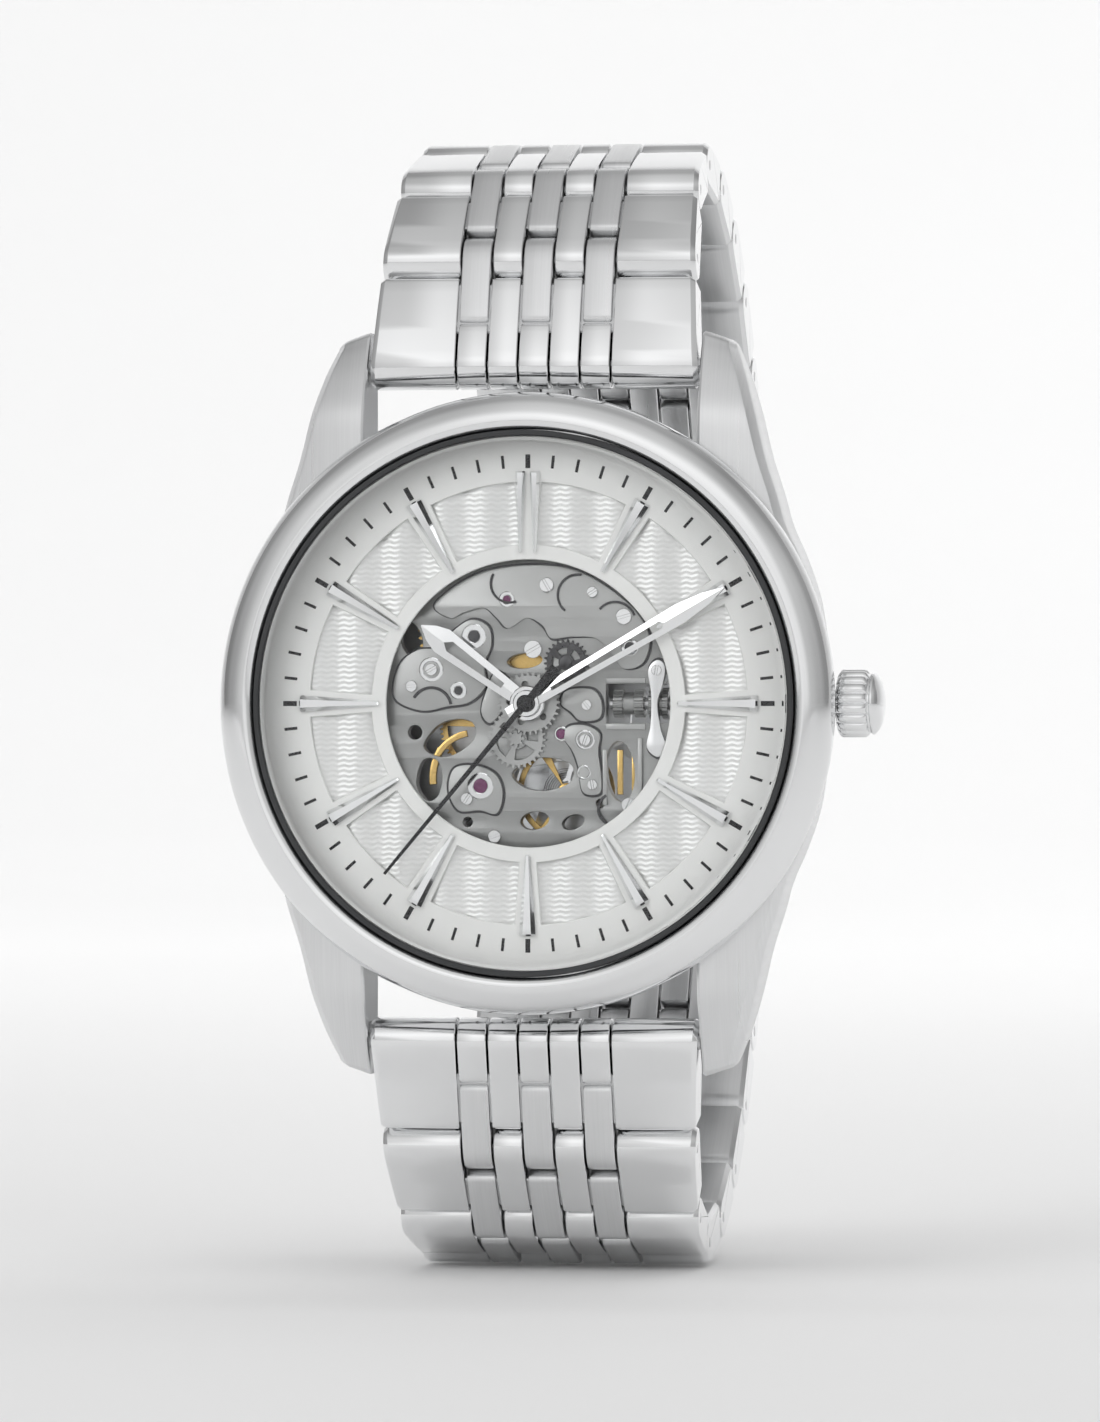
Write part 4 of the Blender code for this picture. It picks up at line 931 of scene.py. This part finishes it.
def linkSide(low, high, roundLow, roundHigh, floor=None):
    # side view of a link: y along the strap, z outwards
    half = bracelet["thickness"] / 2 - 0.01
    corner, heel = bracelet["cornerRound"], bracelet["heelRound"]
    under = -half if floor is None else floor
    if roundLow:
        points = arcPoints(half, 90, 270, 12, (low + half, 0))
    else:
        points = arcPoints(corner, 90, 180, 5, (low + corner, half - corner))
        points += arcPoints(heel, 180, 270, 3, (low + heel, under + heel))
    if roundHigh:
        points += arcPoints(half, -90, 90, 12, (high - half, 0))
    else:
        points += arcPoints(heel, -90, 0, 3, (high - heel, under + heel))
        points += arcPoints(corner, 0, 90, 5, (high - corner, half - corner))
    start, end = points[-1][0], points[0][0]
    points += [(start + (end - start) * i / 8, half) for i in range(1, 8)]
    middle, reach = (low + high) / 2, (high - low) / 2
    return [(y, z * (1 - bracelet["crown"] * ((y - middle) / reach) ** 2) if z > 0 else z) for y, z in points]


def insetOutline(points, amount):
    count = len(points)
    moved = []
    for i in range(count):
        ay, az = points[i - 1]
        by, bz = points[(i + 1) % count]
        dy, dz = by - ay, bz - az
        size = math.hypot(dy, dz) or 1.0
        moved.append((points[i][0] - amount * dz / size, points[i][1] + amount * dy / size))
    return moved


def edgeRows(bevel):
    # distance in from the side of a link, and how far its outline shrinks there
    if bevel > 0.25:
        return [(0.0, bevel * 0.8), (bevel, 0.02), (bevel * 1.15, 0.0)]
    turns = [math.radians(a) for a in (0, 35, 65, 90)]
    return [(bevel * (1 - math.cos(a)), bevel * (1 - math.sin(a))) for a in turns]


def linkShape(left, right, side, bevelLeft, bevelRight, taper=None):
    # left and right are the x limits; taper(y) gives the outer edge where the strap narrows
    rows = [(0.0, off, inset) for off, inset in edgeRows(bevelLeft)]
    rows += [(1.0, -off, inset) for off, inset in reversed(edgeRows(bevelRight))]
    sections = []
    for share, off, inset in rows:
        section = []
        for y, z in insetOutline(side, inset):
            x0, x1 = left, right
            if taper and abs(right) > abs(left):
                x1 = taper(y)
            elif taper:
                x0 = -taper(y)
            section.append((x0 + (x1 - x0) * share + off, y, z))
        sections.append(section)
    return loftShape(sections)


def seamLink(left, right, side):
    # a link with a neighbour on both sides
    trim, bevel = bracelet["gap"] / 2, bracelet["seamBevel"]
    return linkShape(left + trim, right - trim, side, bevel, bevel)


def columnEdges(half):
    width = bracelet["group"] / 5
    lines = [-half] + [-bracelet["group"] / 2 + width * i for i in range(6)] + [half]
    spans = list(zip(lines, lines[1:]))
    return spans[0::2], spans[1::2]


def rowLinks(half, farHalf, length, polishedSide, satinSide):
    polishedSpans, satinSpans = columnEdges(half)
    trim, outer = bracelet["gap"] / 2, bracelet["sideBevel"]
    taper = lambda y: half + (farHalf - half) * min(max(y / length, -0.2), 1.2)
    polished = []
    for left, right in polishedSpans:
        if left == -half:
            polished.append(linkShape(left, right - trim, polishedSide, outer, bracelet["seamBevel"], taper))
        elif right == half:
            polished.append(linkShape(left + trim, right, polishedSide, bracelet["seamBevel"], outer, taper))
        else:
            polished.append(seamLink(left, right, polishedSide))
    return joinShapes(polished), joinShapes([seamLink(left, right, satinSide) for left, right in satinSpans])


def pinEnd(x, y):
    # a domed pin end in the side of a link
    dome = latheShape([(0, -0.6), (0.44, -0.6), (0.44, 0.0), (0.36, 0.05), (0, 0.06)], 24)
    turn = Matrix.Rotation(math.copysign(math.pi / 2, x), 4, "Y")
    return movedShape(dome, Matrix.Translation((x, y, 0)) @ turn)


def strapRows(prefix, strapTurn):
    y, z = -head["barHeight"], head["barReach"]
    for i, angle in enumerate(bracelet["angles"]):
        length = bracelet["firstPitch"] if i == 0 else bracelet["pitch"]
        half, farHalf = bracelet["halfWidths"][i], bracelet["halfWidths"][i + 1]
        space = strapTurn @ Matrix.Translation((0, y, z)) @ Matrix.Rotation(math.radians(90 - angle), 4, "X")
        node = f"{prefix}_row_{i + 1}"
        label = f"{prefix}Row{i + 1}"
        polishedSide = linkSide(-1.6, length - 1.68, True, False)
        satinSide = linkSide(1.68 if i else bracelet["endBlock"] + 0.08, length + 1.6, False, True)
        polished, satin = rowLinks(half, farHalf, length, polishedSide, satinSide)
        if i == 0:
            blockSide = linkSide(-1.6, bracelet["endBlock"], True, False)
            blocks = [seamLink(left, right, blockSide) for left, right in columnEdges(half)[1]]
            polished = joinShapes([polished] + blocks)
        addPiece(label + "Polished", polished, node, "mirrorSteel", [node], space, angle=24,
            underside="brushedSteel")
        addPiece(label + "Satin", satin, node, "brushedSteel", [node], space, angle=24)
        core = [plateShape([boxPoints(1.0 - half, 2.1, half - 1.0, length - 2.1)], -1.15, 1.15, 0.1)]
        if i:
            core += [pinEnd(half - 0.04, 0.0), pinEnd(0.04 - half, 0.0)]
        if i < 7 or prefix == "lower":
            reach = farHalf - 1.2
            core.append(alongX(latheShape([(0, -reach), (0.4, -reach), (0.4, reach), (0, reach)], 24), 0,
                length))
        addPiece(label + "Core", joinShapes(core), node, "crossSteel", [node], space)
        lean = math.radians(angle)
        y, z = y + length * math.sin(lean), z + length * math.cos(lean)
    return y, z


lastY, lastZ = strapRows("upper", Matrix.Identity(4))
strapRows("lower", Matrix.Rotation(math.pi, 4, "Y"))
print("bracelet ready")

# Folding clasp

clasp = {"half": 10.2, "span": 2 * lastZ, "skin": 0.85, "tiles": 5}
claspSpace = (Matrix.Translation((0, lastY, -lastZ)) @ Matrix.Rotation(math.pi, 4, "Z")
              @ Matrix.Rotation(math.pi / 2, 4, "X"))


def tileSide(low, high):
    return linkSide(low, high, False, False, clasp["skin"] + 0.02)


def claspTiles():
    polishedSpans, satinSpans = columnEdges(clasp["half"])
    span, trim, tiles = clasp["span"], bracelet["gap"] / 2, clasp["tiles"]
    step = (span + 3.2) / tiles
    polished, satin = [], []
    for left, right in polishedSpans:
        bevels = [bracelet["seamBevel"]] * 2
        if left == -clasp["half"]:
            bevels[0] = bracelet["sideBevel"] * 0.8
        else:
            left += trim
        if right == clasp["half"]:
            bevels[1] = bracelet["sideBevel"] * 0.8
        else:
            right -= trim
        for k in range(tiles):
            low, high = -1.6 + step * k, -1.6 + step * (k + 1) - 0.08
            if k == 0:
                polished.append(linkShape(left, right, linkSide(low, low + 4.5, True, False), *bevels))
                low += 3.0
            if k == tiles - 1:
                polished.append(linkShape(left, right, linkSide(high - 4.42, high + 0.08, False, True),
                    *bevels))
                high -= 3.0
            polished.append(linkShape(left, right, tileSide(low, high), *bevels))
    edges = [1.68] + [-1.6 + step * (k + 0.5) for k in range(1, tiles - 1)] + [span - 1.68]
    for left, right in satinSpans:
        satin += [seamLink(left, right, tileSide(low, high - 0.08)) for low, high in zip(edges, edges[1:])]
    return joinShapes(polished), joinShapes(satin)


polishedTiles, satinTiles = claspTiles()
addPiece("claspPolishedTiles", polishedTiles, "clasp_cover", "mirrorSteel", ["clasp_cover"], claspSpace,
    angle=24)
addPiece("claspSatinTiles", satinTiles, "clasp_cover", "brushedSteel", ["clasp_cover"], claspSpace, angle=24)


def claspFrame():
    span, half = clasp["span"], clasp["half"]
    parts = [plateShape([boxPoints(-9.3, 1.8, 9.3, span - 1.8)], clasp["skin"], 1.25, 0.04)]
    for sign in (1, -1):
        outer, inner = sign * (half - 0.06), sign * (half - 0.98)
        x0, x1 = min(outer, inner), max(outer, inner)
        rail = plateShape([boxPoints(x0, 1.9, x1, span - 1.9)], -1.55, 1.1, 0.12, 1)
        cutter = plateShape([boxPoints(x0 - 1, span / 2 - 2.55, x1 + 1, span / 2 + 2.55)], -0.92, 0.52)
        parts.append(cutShape(rail, cutter))
    parts.append(plateShape([boxPoints(-9.4, span - 2.35, 9.4, span - 1.75)], -1.5, 1.1, 0.08))
    parts.append(plateShape([boxPoints(-9.4, 1.75, 9.4, 2.9)], -1.5, 1.1, 0.08))
    return joinShapes(parts)


addPiece("claspFrame", claspFrame(), "clasp_cover", "crossSteel", ["clasp_cover"], claspSpace)
middle = clasp["span"] / 2
for name, sign in (("Right", -1), ("Left", 1)):
    inner, outer = sign * 8.92, sign * 10.72
    button = boxPoints(min(inner, outer), middle - 2.35, max(inner, outer), middle + 2.35)
    ribs = [boxPoints(outer - 0.02, middle + k - 0.12, outer + 0.02, middle + k + 0.12)
            for k in (-1.2, -0.6, 0.0, 0.6, 1.2)]
    shape = joinShapes([plateShape([button], -0.82, 0.42, 0.15, 2)]
        + [plateShape([rib], -0.5, 0.12) for rib in ribs])
    node = f"push_button_{name.lower()}"
    addPiece(f"pushButton{name}", shape, node, "mirrorSteel", [node], claspSpace)


def dressNode(node, finish):
    # a CAD node that keeps its own shape
    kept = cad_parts[node]
    kept.data.materials.clear()
    kept.data.materials.append(finishes[finish])
    return kept


for node in ("clasp_blade_a", "clasp_blade_b"):
    dressNode(node, "crossSteel")
print("clasp ready")

keptFinishes = {
    "winding_stem": "crossSteel", "upper_spring_bar": "crossSteel", "lower_spring_bar": "crossSteel",
    "pallet_fork": "mirrorSteel", "click": "mirrorSteel", "movement_holder": "movementGrey",
}
for node, finish in keptFinishes.items():
    dressNode(node, finish)

# Floor, light and camera

def floorMaterial():
    material, tree, shader, where = newMaterial("paleFloor")
    tint = tintNode(tree, noiseNode(tree, where, 3.0), (0.80, 0.80, 0.80), (0.84, 0.84, 0.84))
    tree.links.new(tint, shader.inputs["Base Color"])
    shader.inputs["Roughness"].default_value = 0.7
    return material


floor = {"near": -3.0, "far": 1.2, "sweep": 0.8, "wall": 3.0, "half": 4, "drop": 0.0002}


def pourFloor():
    # a level floor that sweeps up far behind the watch
    base, far, sweep = cadBounds[0][2] - floor["drop"], floor["far"], floor["sweep"]
    profile = [(floor["near"], base), (far, base)]
    profile += arcPoints(sweep, -80, 0, 8, (far, base + sweep))
    profile.append((far + sweep, base + floor["wall"]))
    bm = bmesh.new()
    rows = [[bm.verts.new((x, y, z)) for y, z in profile] for x in (-floor["half"], floor["half"])]
    for i in range(len(profile) - 1):
        bm.faces.new((rows[0][i], rows[1][i], rows[1][i + 1], rows[0][i + 1]))
    mesh = bpy.data.meshes.new("floor")
    bm.to_mesh(mesh)
    bm.free()
    mesh.shade_smooth()
    mesh.materials.append(floorMaterial())
    slab = bpy.data.objects.new("floor", mesh)
    sceneNow.collection.objects.link(slab)


pourFloor()

light = {
    "keyPower": 3.2, "fillPower": 1.6, "topPower": 3.0, "backdropPower": 14.0, "worldStrength": 1.05,
    # room brightness from left to right, from below the horizon to overhead, from behind to the front
    "X": ((0.0, 0.42), (0.3, 0.72), (0.45, 1.0), (0.62, 0.92), (0.8, 0.6), (1.0, 0.5)),
    "Z": ((0.0, 0.9), (0.45, 0.8), (0.55, 0.86), (0.72, 1.0), (0.9, 0.72), (1.0, 0.66)),
    "Y": ((0.0, 1.0), (0.35, 0.9), (0.6, 0.6), (1.0, 0.5)),
}


def softBox(name, at, aim, width, height, power):
    lamp = bpy.data.lights.new(name, "AREA")
    lamp.shape = "RECTANGLE"
    lamp.size = width
    lamp.size_y = height
    lamp.energy = power
    holder = bpy.data.objects.new(name, lamp)
    holder.location = at
    holder.rotation_euler = (Vector(aim) - Vector(at)).to_track_quat("-Z", "Y").to_euler()
    holder.visible_glossy = False        # the steel mirrors the room instead
    sceneNow.collection.objects.link(holder)


softBox("keySoftBox", (-0.7, -1.0, 0.5), (0, 0, 0), 0.7, 0.9, light["keyPower"])
softBox("fillSoftBox", (0.9, -0.9, 0.25), (0, 0, 0), 0.5, 0.9, light["fillPower"])
softBox("topSoftBox", (0.0, -0.2, 1.1), (0, 0, 0), 1.0, 0.8, light["topPower"])
softBox("backSoftBox", (0.3, 1.0, 0.9), (0, 0.02, 0), 0.8, 0.5, light["fillPower"])
softBox("backdropSoftBox", (0, 0.7, 1.3), (0, 2.0, 0.2), 2.0, 0.6, light["backdropPower"])


def rampNode(tree, value, stops):
    # value from -1 to 1, stops from 0 to 1
    ramp = tree.nodes.new("ShaderNodeValToRGB")
    ramp.color_ramp.interpolation = "EASE"
    while len(ramp.color_ramp.elements) < len(stops):
        ramp.color_ramp.elements.new(0.5)
    for element, (place, grey) in zip(ramp.color_ramp.elements, stops):
        element.position = place
        element.color = (grey, grey, grey, 1)
    shift = mathNode(tree, "MULTIPLY_ADD", value, 0.5)
    shift.node.inputs[2].default_value = 0.5
    tree.links.new(shift, ramp.inputs["Fac"])
    return ramp.outputs["Color"]


def studioWorld():
    # bright room that darkens towards its sides, so that the steel has something to mirror
    world = bpy.data.worlds.new("studio")
    world.use_nodes = True
    tree = world.node_tree
    back = tree.nodes["Background"]
    back.inputs["Strength"].default_value = light["worldStrength"]
    where = tree.nodes.new("ShaderNodeTexCoord")
    split = tree.nodes.new("ShaderNodeSeparateXYZ")
    tree.links.new(where.outputs["Generated"], split.inputs[0])
    across, upward, forward = [rampNode(tree, split.outputs[axis], light[axis]) for axis in "XZY"]
    product = mathNode(tree, "MULTIPLY", mathNode(tree, "MULTIPLY", across, upward), forward)
    tree.links.new(product, back.inputs["Color"])
    sceneNow.world = world


studioWorld()

view = {"azimuth": 9.5, "distance": 0.64, "aim": (0, -0.0083, 0), "right": 0.001587, "up": -0.000518,
    "lens": 234.8}


def placeCamera():
    a = math.radians(view["azimuth"])
    back = Vector((math.sin(a), -math.cos(a), 0))
    right = Vector((math.cos(a), math.sin(a), 0))
    data = bpy.data.cameras.new("studioCamera")
    data.lens = view["lens"]
    data.sensor_width = 36
    data.clip_start = 0.01
    camera = bpy.data.objects.new("studioCamera", data)
    aim = Vector(view["aim"]) + Vector((0, 0, view["up"]))
    camera.location = aim + back * view["distance"] + right * view["right"]
    camera.rotation_euler = (math.pi / 2, 0, a)
    sceneNow.collection.objects.link(camera)
    sceneNow.camera = camera


placeCamera()
print("stage ready")

bpy.context.view_layer.update()
